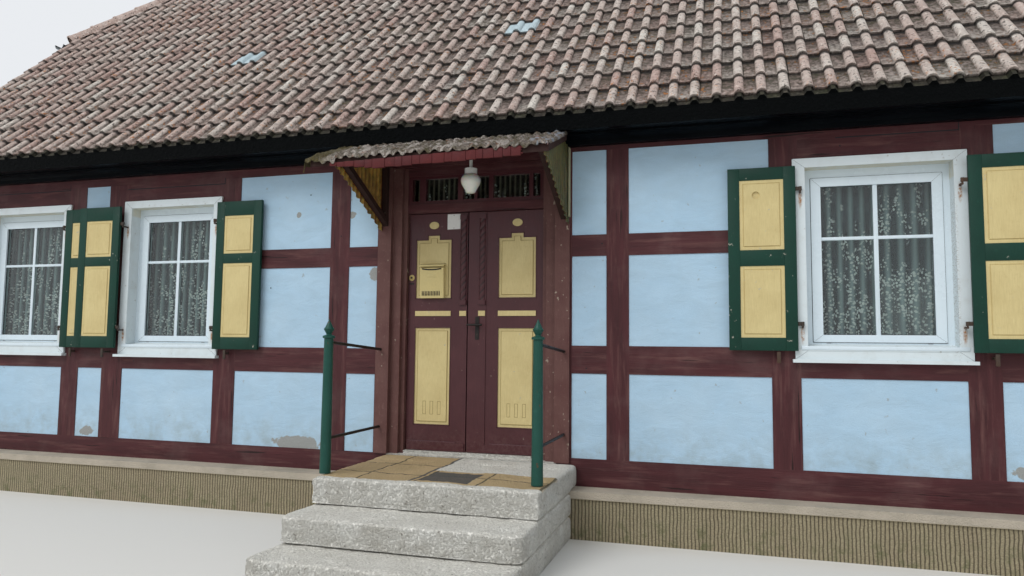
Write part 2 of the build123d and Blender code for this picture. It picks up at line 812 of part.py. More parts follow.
def shutter(window, side, gap, fields, finger_hole=False):
    """Adds one shutter, folded open beside its window, with its hinge eyes."""
    u0, u1, v0, v1 = window
    inner_edge = casing_side - casing_lap_side
    low = v0 - casing_lap_bottom + shutter_above_ledge
    high = low + shutter_height
    if side == "left":
        axis_x = u0 + inner_edge - hinge_back
        edge = axis_x - hinge_arm
        far_edge = edge - shutter_width
    else:
        axis_x = u1 - inner_edge + hinge_back
        edge = axis_x + hinge_arm
        far_edge = edge + shutter_width
    x0, x1 = min(edge, far_edge), max(edge, far_edge)
    face = Plane.XZ.offset(gap + shutter_thick)
    block(x0, x1, -gap - shutter_thick, -gap, low, high)
    for z0, z1 in fields:
        with BuildSketch(face) as field:
            rect(x0 + shutter_stile, x1 - shutter_stile, low + z0, low + z1)
        extrude(field.sketch, amount=-panel_raise, mode=Mode.SUBTRACT)
        with BuildSketch(face) as raised:
            rect(x0 + shutter_stile + field_margin, x1 - shutter_stile - field_margin,
                 low + z0 + field_margin, low + z1 - field_margin)
        extrude(raised.sketch, amount=-panel_raise)
    if finger_hole:
        with BuildSketch(face) as hole:
            with Locations(((x0 + x1) / 2, high - finger_hole_drop)):
                Circle(finger_hole_radius)
                with Locations((0, -finger_hole_radius)):
                    Rectangle(2 * finger_hole_radius, 2 * finger_hole_radius, mode=Mode.SUBTRACT)
        extrude(hole.sketch, amount=-shutter_thick, mode=Mode.SUBTRACT)
    axis_y = -(gap + shutter_thick / 2)
    for z in (low + eye_inset, high - eye_inset):
        block(min(axis_x, edge), max(axis_x, edge), axis_y - hinge_plate / 2, axis_y + hinge_plate / 2,
              z, z + eye_height)
        with Locations((axis_x, axis_y, z + eye_height / 2)):
            Cylinder(pin_radius + pin_clearance + eye_wall, eye_height)
            Cylinder(pin_radius + pin_clearance, eye_height, mode=Mode.SUBTRACT)
        pintle_spots.append((axis_x, axis_y, z))


w1, w2 = front_left["windows"][1], front_left["windows"][0]
w3, w4 = front_right["windows"][0], front_right["windows"][1]
moving_shutters = [
    (w2, "left", front_shutter_gap, left_fields, "shutter_2_left"),
    (w2, "right", shutter_gap, left_fields, "shutter_2_right"),
    (w3, "left", shutter_gap, right_fields, "shutter_3_left"),
    (w3, "right", front_shutter_gap, right_fields, "shutter_3_right")]
for window, side, gap, fields, name in moving_shutters:
    with BuildPart() as moving:
        shutter(window, side, gap, fields, finger_hole=name == "shutter_3_left")
    write(moving, name)
with BuildPart() as outer_shutters:
    for window, fields in ((w1, left_fields), (w4, right_fields)):
        shutter(window, "left", shutter_gap, fields)
        shutter(window, "right", shutter_gap, fields)
write(outer_shutters, "outer_shutters")

# Door frame: stepped jambs, transom and the fanlight over it
door_sill = sill_top
with BuildPart() as jambs:
    for sign in (-1, 1):
        outline = jamb_steps + [
            (door_opening, transom_front), (door_opening, transom_back), (jamb_back, transom_back), (jamb_back, 0)]
        with BuildSketch(Plane.XY.offset(door_sill)):
            with BuildLine():
                Polyline(*[(sign * x, y) for x, y in outline], close=True)
            make_face()
        extrude(amount=plate_bottom - door_sill)
write(jambs, "door_jambs")
with BuildPart() as head:
    block(-door_opening, door_opening, transom_front, transom_back, door_top, door_top + transom_height)
    block(-door_opening, door_opening, transom_front, transom_back, fanlight_top, plate_bottom)
write(head, "door_transom")
with BuildPart() as fanlight:
    with BuildSketch(Plane.XZ.offset(-fanlight_set_back)):
        rect(-door_opening, door_opening, door_top + transom_height, fanlight_top)
        for u0, u1 in fanlight_panes:
            rect(u0, u1, fanlight_bottom, fanlight_top - fanlight_head, mode=Mode.SUBTRACT)
    extrude(amount=-fanlight_thick)
write(fanlight, "fanlight_frame")
with BuildPart() as threshold:
    block(-door_half + door_post, door_half - door_post, 0, wall, plinth_top, sill_top)
    block(-door_opening, door_opening, transom_front, wall, sill_top, door_bottom - leaf_gap)
write(threshold, "door_threshold")

# Door leaves: panel pockets, half column, cover strip, kick board and hinge eyes
leaf_front = Plane.XZ.offset(-leaf_set_back)
leaf_back = leaf_set_back + leaf_thick
axis_y = leaf_back + hinge_axis_back
door_pins = []
leaf_spans = {
    "left": (-door_opening + leaf_gap, leaf_split - middle_gap / 2),
    "right": (leaf_split + middle_gap / 2, door_opening - leaf_gap)}


def leaf_panels(side, inward):
    """Outlines of one leaf's panels, each edge moved inwards."""
    centre = panel_centres[side]
    tab_half, tab_top = panel_tab
    low, high = upper_panel
    rect(centre - panel_half + inward, centre + panel_half - inward, low + inward, high - inward)
    rect(centre - tab_half + inward, centre + tab_half - inward, high - inward, tab_top - inward)
    rect(centre - panel_half + inward, centre + panel_half - inward, lower_panel[0] + inward, lower_panel[1] - inward)


def half_column(side):
    """Half-round column on a leaf, between a foot and a head block."""
    x = column_x[side]
    with Locations((x, leaf_set_back + column_flat, (column_foot + column_head) / 2)):
        Cylinder(column_radius, column_head - column_foot)
    for z0, z1 in ((column_foot - column_block, column_foot), (column_head, column_head + column_block)):
        block(x - square_half, x + square_half, leaf_set_back - column_radius + column_flat,
              leaf_set_back, z0, z1)


def leaf_node(side, name):
    """One door leaf, closed."""
    x0, x1 = leaf_spans[side]
    hinge_x = -door_opening + hinge_in if side == "left" else door_opening - hinge_in
    with BuildPart() as leaf:
        half_column(side)
        block(x0, x1, leaf_set_back, leaf_back, door_bottom, door_top - leaf_gap)
        if side == "right":
            block(*cover_strip, leaf_set_back - cover_strip_thick, leaf_set_back, kick_board_top, door_top - leaf_gap)
        block(x0 + kick_board_in, x1 - kick_board_in, leaf_set_back - kick_board_thick, leaf_set_back,
              door_bottom, kick_board_top)
        with BuildSketch(leaf_front):
            leaf_panels(side, 0)
        extrude(amount=-pocket_depth, mode=Mode.SUBTRACT)
        inward = hinge_leaf if hinge_x < 0 else -hinge_leaf
        levels = (door_bottom + lower_hinge, door_top - upper_hinge)
        for z in levels:
            block(*sorted((hinge_x, hinge_x + inward)), leaf_back, axis_y + hinge_plate / 2, z, z + hinge_eye)
            with Locations((hinge_x, axis_y, z + hinge_eye / 2)):
                Cylinder(pin_radius + pin_clearance + eye_wall, hinge_eye)
        for z in levels:
            with Locations((hinge_x, axis_y, z + hinge_eye / 2)):
                Cylinder(pin_radius + pin_clearance, hinge_eye, mode=Mode.SUBTRACT)
            door_pins.append((hinge_x, axis_y, z))
    write(leaf, name)


leaf_node("left", "door_leaf_left")
leaf_node("right", "door_leaf_right")

# Hinge pins: pintles on shanks in the casings, and pins on the back of the door jambs
with BuildPart() as pins:
    for x, y, z in pintle_spots:
        with Locations((x, y, z + (eye_height - pin_past) / 2)):
            Cylinder(pin_radius, eye_height + pin_past)
        block(x - pin_radius, x + pin_radius, y - pin_radius, -casing_thick,
              z - shank_heights[0], z - shank_heights[1])
    for x, y, z in door_pins:
        with Locations((x, y, z + (hinge_eye - 2 * pin_past) / 2)):
            Cylinder(pin_radius, hinge_eye + 2 * pin_past)
        foot = x + (hinge_leaf if x > 0 else -hinge_leaf)
        block(*sorted((x, foot)), transom_back, y + pin_radius, z - hinge_foot[0], z - hinge_foot[1])
write(pins, "hinge_pins")


def door_panels(side, name):
    """Painted panels in one leaf's pockets, with its band, square and oval."""
    centre = panel_centres[side]
    strip = column_x[side]
    with BuildPart() as panels:
        with BuildSketch(leaf_front.offset(-pocket_depth)):
            leaf_panels(side, 0)
        extrude(amount=panel_thick)
        with BuildSketch(leaf_front.offset(panel_thick - pocket_depth)):
            leaf_panels(side, field_in)
        extrude(amount=field_raise)
        with BuildSketch(leaf_front):
            rect(centre - panel_half, centre + panel_half, *band_panel)
            with Locations((centre, oval_z)):
                Ellipse(*oval_radii)
        extrude(amount=oval_raise)
        strip_face = leaf_set_back - (cover_strip_thick if side == "right" else 0)
        with BuildSketch(Plane.XZ.offset(-strip_face)):
            rect(strip - square_half, strip + square_half, *band_panel)
        extrude(amount=oval_raise)
    write(panels, name)


door_panels("left", "door_panels_left")
door_panels("right", "door_panels_right")

# Lever handle on its plate, on the cover strip
with BuildPart() as handle:
    strip_face = leaf_set_back - cover_strip_thick
    with BuildSketch(Plane.XZ.offset(-strip_face)):
        rect(*handle_plate)
    extrude(amount=handle_plate_thick)
    with Locations((handle_x, strip_face - lever_out / 2, handle_z)):
        Cylinder(lever_radius, lever_out, rotation=(90, 0, 0))
    with Locations((sum(lever_reach) / 2, strip_face - lever_out, handle_z)):
        Cylinder(lever_radius, lever_reach[1] - lever_reach[0], rotation=(0, 90, 0))
write(handle, "door_handle")

# Letter box with a sloping lid on the left leaf, and the number plate
panel_face = leaf_set_back + pocket_depth - panel_thick - field_raise
with BuildPart() as letter_box:
    low, high = letter_box_z
    foot_depth, lid_depth = letter_box_out
    lid_low, lid_high = letter_box_lid
    with BuildSketch(Plane.YZ.offset(letter_box_span[0])):
        with BuildLine():
            Polyline((panel_face, low), (panel_face - foot_depth, low), (panel_face - lid_depth, high - lid_low),
                     (panel_face - lid_depth, high - lid_high), (panel_face, high), close=True)
        make_face()
    extrude(amount=letter_box_span[1] - letter_box_span[0])
write(letter_box, "letter_box")
with BuildPart() as plate:
    x0, x1, z0, z1 = plate_span
    block(x0, x1, leaf_set_back - plate_thick, leaf_set_back, z0, z1)
write(plate, "number_plate")

# Canopy over the door
slope = tan(radians(canopy_pitch))


def canopy_z(y_out):
    """Top of the canopy at a distance out from the wall."""
    return canopy_front_z + (canopy_front - y_out) * slope


thick_v = canopy_thick / cos(radians(canopy_pitch))
with BuildPart() as canopy_roof:
    with BuildSketch(Plane.YZ.offset(canopy_left)):
        with BuildLine():
            Polyline(
                (-canopy_front, canopy_z(canopy_front)), (-canopy_back, canopy_z(canopy_back)),
                (-canopy_back, canopy_z(canopy_back) - thick_v),
                (-canopy_front, canopy_z(canopy_front) - thick_v), close=True)
        make_face()
    extrude(amount=canopy_right - canopy_left)
write(canopy_roof, "canopy_roof")


def canopy_side(in_from_edge):
    """Outline of a canopy side, between the wall and the roof's underside."""
    under = canopy_z(canopy_side_front) - thick_v
    wall_y = -canopy_wall - in_from_edge
    top_in = in_from_edge / cos(radians(canopy_pitch))
    lean = (under - canopy_foot_z) / (canopy_side_front - canopy_wall)
    low_in = in_from_edge / cos(atan(lean))
    front_y = canopy_side_front - (top_in + low_in) / (lean + slope)
    foot_z = canopy_foot_z + low_in + in_from_edge * lean
    if in_from_edge:
        top = [(wall_y, canopy_side_top - top_in), (-front_y, canopy_z(front_y) - thick_v - top_in)]
    else:
        top = [(wall_y, canopy_side_top), (-canopy_back, canopy_z(canopy_back) - thick_v), (-front_y, under)]
    with BuildLine() as edge:
        Polyline((wall_y, foot_z), *top, close=True)
    return edge


# Timber brackets with diagonal struts, and the corrugated sheets outside them
with BuildPart() as canopy_frame:
    for x, start in ((canopy_side_left, canopy_side_left), (canopy_side_right, canopy_side_right - canopy_timber)):
        with BuildSketch(Plane.YZ.offset(start)) as bracket:
            make_face(canopy_side(0).edges())
            make_face(canopy_side(canopy_timber).edges(), mode=Mode.SUBTRACT)
        extrude(bracket.sketch, amount=canopy_timber)
write(canopy_frame, "canopy_brackets")
with BuildPart() as canopy_sheets:
    for start in (canopy_side_left - sheet_thick, canopy_side_right):
        with BuildSketch(Plane.YZ.offset(start)) as side_sheet:
            make_face(canopy_side(0).edges())
        extrude(side_sheet.sketch, amount=sheet_thick)
write(canopy_sheets, "canopy_side_sheets")
with BuildPart() as fascia:
    z = canopy_z(canopy_front) - thick_v
    block(canopy_left + fascia_left_in, fascia_right, -canopy_front, -canopy_front + fascia_thick,
          z - fascia_height, z)
write(fascia, "canopy_fascia")

# Porch lamp hung from the canopy
with BuildPart() as globe:
    with BuildSketch(Plane.XZ.offset(-lamp_y)):
        with BuildLine():
            Line((lamp_x, globe_bottom), (lamp_x, globe_top))
            Line((lamp_x, globe_top), (lamp_x + globe_neck, globe_top))
            Spline((lamp_x + globe_neck, globe_top), (lamp_x + globe_radius, globe_top - globe_shoulder),
                   (lamp_x + globe_radius * globe_base[0], globe_bottom + globe_base[1]), (lamp_x, globe_bottom),
                   tangents=((1, -0.6), (-1, 0)))
        make_face()
    revolve(axis=Axis((lamp_x, lamp_y, 0), (0, 0, 1)))
write(globe, "lamp_globe")
lamp_stem_top = canopy_z(stem_radius - lamp_y) - thick_v
with BuildPart() as collar:
    with BuildSketch(Plane.XY.offset(globe_top)):
        with Locations((lamp_x, lamp_y)):
            Circle(collar_radius)
    extrude(amount=collar_height)
    with BuildSketch(Plane.XY.offset(globe_top + collar_height)):
        with Locations((lamp_x, lamp_y)):
            Circle(stem_radius)
    extrude(amount=lamp_stem_top - globe_top - collar_height)
write(collar, "lamp_collar")

# Stone steps and landing
landing_top = sill_top - landing_below_sill
step_back = plinth_out + plinth_lip_out
with BuildPart() as landing:
    with BuildSketch(Plane.YZ.offset(steps_left)):
        with BuildLine():
            Polyline(
                (-landing_front, landing_low), (-landing_front, landing_top), (0, landing_top),
                (0, plinth_top), (-step_back, plinth_top), (-step_back, landing_low), close=True)
        make_face()
    extrude(amount=steps_right - steps_left)
write(landing, "landing")


def step(front, z0, z1, name):
    """A step with worn front corners and a rounded edge."""
    with BuildPart() as tread:
        block(steps_left, steps_right, -front, -step_back, z0, z1)
        corners = tread.edges().filter_by(Axis.Z).group_by(Axis.Y)[0]
        fillet(corners, step_corner)
        rim = tread.faces().sort_by(Axis.Z)[-1].edges().filter_by(lambda edge: edge.center().Y < -step_back - 1)
        fillet(rim, step_edge)
    write(tread, name)


step(step_front[0], step_low, landing_low, "upper_step")
step(step_front[1], 0, step_low, "lower_step")

# Railing posts with cone finials, and the bars to the wall
with BuildPart() as rail_posts:
    for x, y in (rail_post_left, rail_post_right):
        neck_z = landing_top + rail_post_shaft
        with BuildSketch(Plane.XZ.offset(-y)):
            with BuildLine():
                Polyline(
                    (x, landing_top), (x + foot_radius, landing_top), (x + neck_radius, neck_z),
                    *[(x + radius, neck_z + rise) for radius, rise in finial], (x, landing_top))
            make_face()
        revolve(axis=Axis((x, y, 0), (0, 0, 1)))
write(rail_posts, "railing_posts")
wall_x, wall_y = rail_wall
with BuildPart() as rail_bars:
    for (x, y), side in ((rail_post_left, -1), (rail_post_right, 1)):
        for z_post, z_wall in rail_levels:
            start = Vector(x, y, z_post)
            stop = Vector(side * wall_x, 0, z_wall)
            along = (stop - start).normalized()
            thickness = foot_radius - (foot_radius - neck_radius) * (z_post - landing_top) / rail_post_shaft
            foot = start + along * (thickness + seat_gap + rail_bar_radius * abs(along.Z))
            with BuildSketch(Plane(origin=foot, z_dir=along)):
                Circle(rail_bar_radius)
            extrude(amount=(stop - foot).length)
    block(-house_depth, house_depth, -wall_y, house_depth, 0, house_depth, mode=Mode.SUBTRACT)
write(rail_bars, "railing_bars")
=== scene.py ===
import math
import random
import bpy
import bmesh
from mathutils import Matrix, Vector, noise


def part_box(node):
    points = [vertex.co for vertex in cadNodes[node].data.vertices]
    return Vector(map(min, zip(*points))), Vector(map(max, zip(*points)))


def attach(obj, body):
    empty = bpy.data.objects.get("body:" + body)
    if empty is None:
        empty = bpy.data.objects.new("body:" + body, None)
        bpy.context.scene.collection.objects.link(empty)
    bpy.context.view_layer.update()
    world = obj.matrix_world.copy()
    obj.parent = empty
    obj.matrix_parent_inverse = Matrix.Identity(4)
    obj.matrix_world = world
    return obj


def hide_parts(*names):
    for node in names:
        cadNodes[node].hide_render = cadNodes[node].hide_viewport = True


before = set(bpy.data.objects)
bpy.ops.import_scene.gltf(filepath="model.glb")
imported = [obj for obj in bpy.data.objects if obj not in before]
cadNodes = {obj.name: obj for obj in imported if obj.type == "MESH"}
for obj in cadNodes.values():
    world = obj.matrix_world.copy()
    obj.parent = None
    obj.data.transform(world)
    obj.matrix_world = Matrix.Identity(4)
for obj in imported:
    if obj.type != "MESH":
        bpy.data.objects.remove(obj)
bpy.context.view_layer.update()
print("frame loaded:", len(cadNodes), "nodes")


def linear(hexColour):
    parts = [int(hexColour[i:i + 2], 16) / 255 for i in (1, 3, 5)]
    return [c / 12.92 if c <= 0.04045 else ((c + 0.055) / 1.055) ** 2.4 for c in parts] + [1]


def addNode(tree, kind, inputs=None, **settings):
    node = tree.nodes.new("ShaderNode" + kind)
    for name, value in settings.items():
        setattr(node, name, value)
    for socket, value in (inputs or {}).items():
        if isinstance(value, bpy.types.NodeSocket):
            tree.links.new(value, node.inputs[socket])
        else:
            node.inputs[socket].default_value = value
    return node


def newMaterial(name, **settings):
    # a material and the object coordinates that its patterns follow
    material = bpy.data.materials.new(name)
    material.use_nodes = True
    shader = material.node_tree.nodes["Principled BSDF"]
    for socket, value in settings.items():
        shader.inputs[socket.replace("_", " ")].default_value = value
    return material, addNode(material.node_tree, "TexCoord").outputs["Object"]


def feed(shader, **sockets):
    for socket, value in sockets.items():
        shader.id_data.links.new(value, shader.inputs[socket.replace("_", " ")])


def spread(value, fromMin=0.0, fromMax=1.0, toMin=0.0, toMax=1.0):
    # a value carried from one range to another, and held there
    ends = {"Value": value, "From Min": fromMin, "From Max": fromMax, "To Min": toMin, "To Max": toMax}
    return addNode(value.id_data, "MapRange", ends).outputs[0]


def alongAxis(vector, axis):
    return addNode(vector.id_data, "SeparateXYZ", {0: vector}).outputs[axis]


def facing(place):
    # how far a face looks up
    return alongAxis(addNode(place.id_data, "NewGeometry").outputs["Normal"], 2)


def stored(place, name):
    # a value that the mesh carries at its points
    return addNode(place.id_data, "Attribute", attribute_name=name).outputs["Fac"]


def calculate(operation, *values, clamped=False):
    inputs = dict(enumerate(values))
    return addNode(values[0].id_data, "Math", inputs, operation=operation, use_clamp=clamped).outputs[0]


def both(first, second):
    return calculate("MULTIPLY", first, second, clamped=True)


def either(first, second):
    return calculate("MAXIMUM", first, second, clamped=True)


def cloud(vector, scale, detail, **more):
    return addNode(vector.id_data, "TexNoise", {"Vector": vector, "Scale": scale, "Detail": detail, **more})


def grain(place, size, low=0.35, high=0.65, stretch=(1, 1, 1), detail=5, warp=0.0):
    # noise whose grains are that many metres wide, stretched along an axis, as a factor from 0 to 1
    scale = [1 / (size * part) for part in stretch]
    mapped = addNode(place.id_data, "Mapping", {"Vector": place, "Scale": scale}).outputs[0]
    return spread(cloud(mapped, 1.0, detail, Roughness=0.62, Distortion=warp).outputs[0], low, high)


def coats(ground, *layers):
    # a colour with further ones over it: where each lies, how strongly if not fully, and its colour
    colour = linear(ground) if isinstance(ground, str) else ground
    for factor, *strength, over in layers:
        if strength:
            factor = both(factor, *strength)
        over = linear(over) if isinstance(over, str) else over
        mixed = addNode(factor.id_data, "Mix", {0: factor, 6: colour, 7: over}, data_type="RGBA")
        colour = mixed.outputs[2]
    return colour


def surface(material, colour, *heights, **sockets):
    # feeds the shader its colour, what else is named, and bumps, each with its depth in metres
    for height, depth in heights:
        inputs = {"Height": height, "Distance": depth, "Strength": 1.0}
        if "Normal" in sockets:
            inputs["Normal"] = sockets["Normal"]
        sockets["Normal"] = addNode(material.node_tree, "Bump", inputs).outputs[0]
    feed(material.node_tree.nodes["Principled BSDF"], Base_Color=colour, **sockets)
    return material


def within(place, axis, low, high, soft=0.004):
    # 1 between two places along an axis, 0 outside, with soft ends
    part = alongAxis(place, axis)
    rise = spread(part, low - soft, low + soft)
    fall = spread(part, high + soft, high - soft)
    return calculate("MULTIPLY", rise, fall)


def spotAway(place, x, z, wide, tall, flat):
    # how far a point of the front lies from a spot, in the spot's own widths and heights
    away = {"Vector": place, "Location": (-x / wide, 0, -z / tall), "Scale": (1 / wide, flat, 1 / tall)}
    away = addNode(place.id_data, "Mapping", away).outputs[0]
    return addNode(place.id_data, "VectorMath", {0: away}, operation="LENGTH").outputs["Value"]


def placed(spot, turn=0, axis="X", size=(1, 1, 1)):
    # set at a spot, turned by so many degrees and stretched
    turned = Matrix.Translation(spot) @ Matrix.Rotation(math.radians(turn), 4, axis)
    return turned @ Matrix.Diagonal((*size, 1))


def toMesh(bm, name):
    mesh = bpy.data.meshes.new(name)
    bm.to_mesh(mesh)
    bm.free()
    return mesh


def addObject(name, data):
    thing = bpy.data.objects.new(name, data)
    bpy.context.scene.collection.objects.link(thing)
    return thing


weldDistance = 0.00005


def finishPiece(name, bm, material, body="house", stands=(), sharp=35, keepFaces=False):
    # a finished bmesh becomes one piece; stands names the plain nodes that it takes the place of
    if not keepFaces:
        bmesh.ops.remove_doubles(bm, verts=bm.verts, dist=weldDistance)
        bmesh.ops.recalc_face_normals(bm, faces=bm.faces)
    mesh = toMesh(bm, name)
    mesh.materials.append(material)
    mesh.shade_smooth()
    mesh.set_sharp_from_angle(angle=math.radians(sharp))
    piece = addObject(name, mesh)
    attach(piece, body)
    if stands:
        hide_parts(*stands)
    return piece


def easeEdges(bm, verts, width, segments=2):
    edges = list({edge for vert in verts for edge in vert.link_edges})
    bmesh.ops.bevel(bm, geom=edges, offset=width, offset_type="OFFSET", segments=segments, profile=0.5,
                    affect="EDGES", material=-1, clamp_overlap=True)


def addBlock(bm, low, high, ease=0.0):
    # squared block between two corners, its edges eased
    size = Vector(high) - Vector(low)
    matrix = placed((Vector(high) + Vector(low)) / 2, size=size)
    made = bmesh.ops.create_cube(bm, size=1, matrix=matrix)
    if ease:
        easeEdges(bm, made["verts"], ease)


def addBall(bm, centre, radius, segments=10, rings=6, flat=1):
    # a round head, pressed flat along y where it sits in wood
    bmesh.ops.create_uvsphere(bm, u_segments=segments, v_segments=rings, radius=radius,
                              matrix=placed(centre, size=(1, flat, 1)))


def addGrid(bm, columns, rows, matrix, **more):
    return bmesh.ops.create_grid(bm, x_segments=columns, y_segments=rows, size=1, matrix=matrix, **more)


def addTurned(bm, profile, centre=(0, 0, 0), steps=20):
    # spun shape about an upright axis, from (radius, height) pairs
    chain = [bm.verts.new((centre[0] + radius, centre[1], centre[2] + height)) for radius, height in profile]
    edges = [bm.edges.new(pair) for pair in zip(chain, chain[1:])]
    bmesh.ops.spin(bm, geom=chain + edges, cent=centre, axis=(0, 0, 1), angle=math.tau, steps=steps,
                   use_merge=True)


def addMoved(bm, source, matrix):
    # a copy of a finished bmesh, put in place
    copy = source.copy()
    copy.transform(matrix)
    carrier = toMesh(copy, "carrier")
    bm.from_mesh(carrier)
    bpy.data.meshes.remove(carrier)


def cutAway(bm, point, normal):
    # what lies on the normal's side goes
    bmesh.ops.bisect_plane(bm, geom=bm.verts[:] + bm.edges[:] + bm.faces[:], plane_co=point, plane_no=normal,
                           clear_outer=True)


def faceUp(bm, weight):
    # an open sheet with its outer side up
    bmesh.ops.recalc_face_normals(bm, faces=bm.faces)
    if sum(face.normal.z * weight(face) for face in bm.faces) < 0:
        bmesh.ops.reverse_faces(bm, faces=bm.faces)


def noiseAt(place, size, seed=0.0):
    return noise.fractal(Vector(place) / size + Vector((seed, seed * 0.7, seed * 1.3)), 0.8, 2.0, 4)


# where the photograph was taken from, in metres and degrees
photo = {"place": (2.1648, -6.0365, 1.5098), "yaw": -16.504, "pitch": 4.459, "roll": 0.581,
         "focalPixels": 740.0, "widthPixels": 1024, "sensor": 36}


def photoCamera():
    yaw, pitch, roll = (math.radians(photo[k]) for k in ("yaw", "pitch", "roll"))
    ahead = Vector((math.sin(yaw) * math.cos(pitch), math.cos(yaw) * math.cos(pitch), math.sin(pitch)))
    right = Vector((math.cos(yaw), -math.sin(yaw), 0))
    up = right.cross(ahead)
    sideways = right * math.cos(roll) + up * math.sin(roll)
    upwards = up * math.cos(roll) - right * math.sin(roll)
    data = bpy.data.cameras.new("photoCamera")
    data.sensor_width = photo["sensor"]
    data.lens = photo["focalPixels"] / photo["widthPixels"] * photo["sensor"]
    camera = addObject("photoCamera", data)
    turn = Matrix((sideways, upwards, -ahead)).transposed()
    camera.matrix_world = Matrix.Translation(photo["place"]) @ turn.to_4x4()
    bpy.context.scene.camera = camera


# plain studio: pale floor, even sky light and one soft lamp from the upper left
studio = {"floor": "#dcdad5", "floorSize": 120, "sky": "#eef1f5", "skyLight": 0.82, "skySeen": 0.96,
          "lampLight": 1.5, "lampSoftness": 35, "lampFrom": (-0.5, -0.9, 1.0)}


def makeStudio():
    floorMaterial, _ = newMaterial("paleStudioFloor", Base_Color=linear(studio["floor"]), Roughness=0.9)
    bm = bmesh.new()
    bmesh.ops.create_grid(bm, x_segments=1, y_segments=1, size=studio["floorSize"])
    mesh = toMesh(bm, "studioFloor")
    mesh.materials.append(floorMaterial)
    addObject("studioFloor", mesh)
    world = bpy.data.worlds.new("studioSky")
    bpy.context.scene.world = world
    world.use_nodes = True
    paths = addNode(world.node_tree, "LightPath").outputs
    seen = either(either(paths["Is Camera Ray"], paths["Is Glossy Ray"]), paths["Is Transmission Ray"])
    background = world.node_tree.nodes["Background"]
    background.inputs["Color"].default_value = linear(studio["sky"])
    feed(background, Strength=spread(seen, toMin=studio["skyLight"], toMax=studio["skySeen"]))
    lamp = bpy.data.lights.new("softLamp", "SUN")
    lamp.energy = studio["lampLight"]
    lamp.angle = math.radians(studio["lampSoftness"])
    lampObject = addObject("softLamp", lamp)
    lampObject.rotation_euler = Vector(studio["lampFrom"]).to_track_quat("Z", "Y").to_euler()
    bpy.context.scene.view_settings.view_transform = "Standard"


photoCamera()
makeStudio()
print("studio ready")

wallFrames = {                                  # from the front wall's own plane to each wall
    "front": Matrix.Identity(4),
    "back": placed((0, 8, 0), 180, "Z"),
    "left": placed((-6.7, 4, 0), -90, "Z"),
    "right": placed((6.7, 4, 0), 90, "Z")}

# weathered oil-painted oak: red-brown film worn to grey along the grain, with drying cracks
timber = {"paint": "#522a2d", "deep": "#331a1c", "worn": "#74534f", "dust": "#8d7b76", "crack": "#1d1110",
          "indoorsDark": "#2b2420", "grainWidth": 0.011, "grainLength": 30}


def indoors(place):
    # 1 on what lies inside the rooms, where the colour is darkened
    return both(within(place, 0, -6.56, 6.56), within(place, 1, 0.11, 7.89))


def timberMaterial(name, axis):
    material, place = newMaterial(name, Roughness=0.62, Specular_IOR_Level=0.22)

    def drawn(length):
        return [length if index == axis else 1 for index in range(3)]

    wide = grain(place, 0.09, 0.3, 0.7, drawn(8))
    fine = grain(place, timber["grainWidth"], 0.3, 0.7, drawn(timber["grainLength"]))
    worn = grain(place, 0.05, 0.52, 0.72, drawn(10), warp=0.3)
    cracks = grain(place, 0.03, 0.36, 0.33, drawn(26), detail=3)
    dust = grain(place, 0.4, 0.5, 0.9)
    colour = coats(timber["paint"], (wide, 0.75, timber["deep"]), (worn, 0.55, timber["worn"]),
                   (dust, 0.25, timber["dust"]), (cracks, 0.85, timber["crack"]),
                   (indoors(place), 0.7, timber["indoorsDark"]))
    return surface(material, colour, (fine, 0.0012), Roughness=spread(worn, toMin=0.5, toMax=0.85))


timberUpright = timberMaterial("oilPaintedOakUpright", 2)
timberLong = timberMaterial("oilPaintedOakLong", 0)
timberAcross = timberMaterial("oilPaintedOakAcross", 1)

# lime plaster washed in pale blue, the blue deepened as painted shade of a sky-lit wall: cloudy, trowelled,
# crumbled in places down to its sandy ground
# the wash and pale blues hold painted shade of the sky-lit wall as well as the wash's own colour
plaster = {"indoorsDark": "#4a463e", "wash": "#abcbe2", "pale": "#bcd5e6", "worn": "#98afbd",
           "damp": "#8e9894", "sand": "#a1a3a0", "grit": "#6c6e6c", "dust": "#7d8a92",
           "spots": [(-1.68, 0.60, 0.27, 0.075), (-1.169, 2.694, 0.05, 0.035), (-0.92, 2.15, 0.055, 0.075),
                     (-1.726, 2.717, 0.03, 0.03), (4.15, 0.66, 0.12, 0.05), (-4.1, 0.61, 0.1, 0.05)]}


def plasterMaterial(name, spots):
    material, place = newMaterial(name, Roughness=0.9)
    clouds = grain(place, 0.55, 0.3, 0.75)
    strokes = grain(place, 0.12, 0.35, 0.7, (2.2, 2.2, 1), warp=0.4)
    sand = grain(place, 0.006, 0.3, 0.7, detail=3)        # drawn coarser than the real 1 mm sand
    damp = both(grain(place, 0.16, 0.42, 0.75), within(place, 2, 0.5, 0.78, soft=0.12))
    broken = both(grain(place, 0.07, 0.66, 0.69, detail=7), 0.55)
    jitter = cloud(place, 22.0, 5.0).outputs[0]
    for spot in spots:
        edge = calculate("ADD", spotAway(place, *spot, 8), jitter)
        broken = either(broken, spread(edge, 1.42, 1.34))
    colour = coats(plaster["wash"], (clouds, 0.7, plaster["pale"]), (strokes, 0.3, plaster["worn"]),
                   (damp, 0.6, plaster["damp"]), (sand, 0.12, plaster["dust"]), (broken, plaster["sand"]),
                   (both(broken, sand), 0.6, plaster["grit"]), (indoors(place), plaster["indoorsDark"]))
    return surface(material, colour, (strokes, 0.003), (sand, 0.0012))


plasterFront = plasterMaterial("limewashedPlasterFront", plaster["spots"])
plasterElsewhere = plasterMaterial("limewashedPlaster", [])

# scored cement render: upright comb grooves in a rough buff coat, with a trowelled pale lip on top
scored = {"render": "#aa9f81", "cloud": "#a08f76", "dark": "#453c2e", "lip": "#beb3a2",
          "lipStain": "#807b6d", "moss": "#5a5f3c", "grooveSpacing": 0.027, "sway": 0.025}


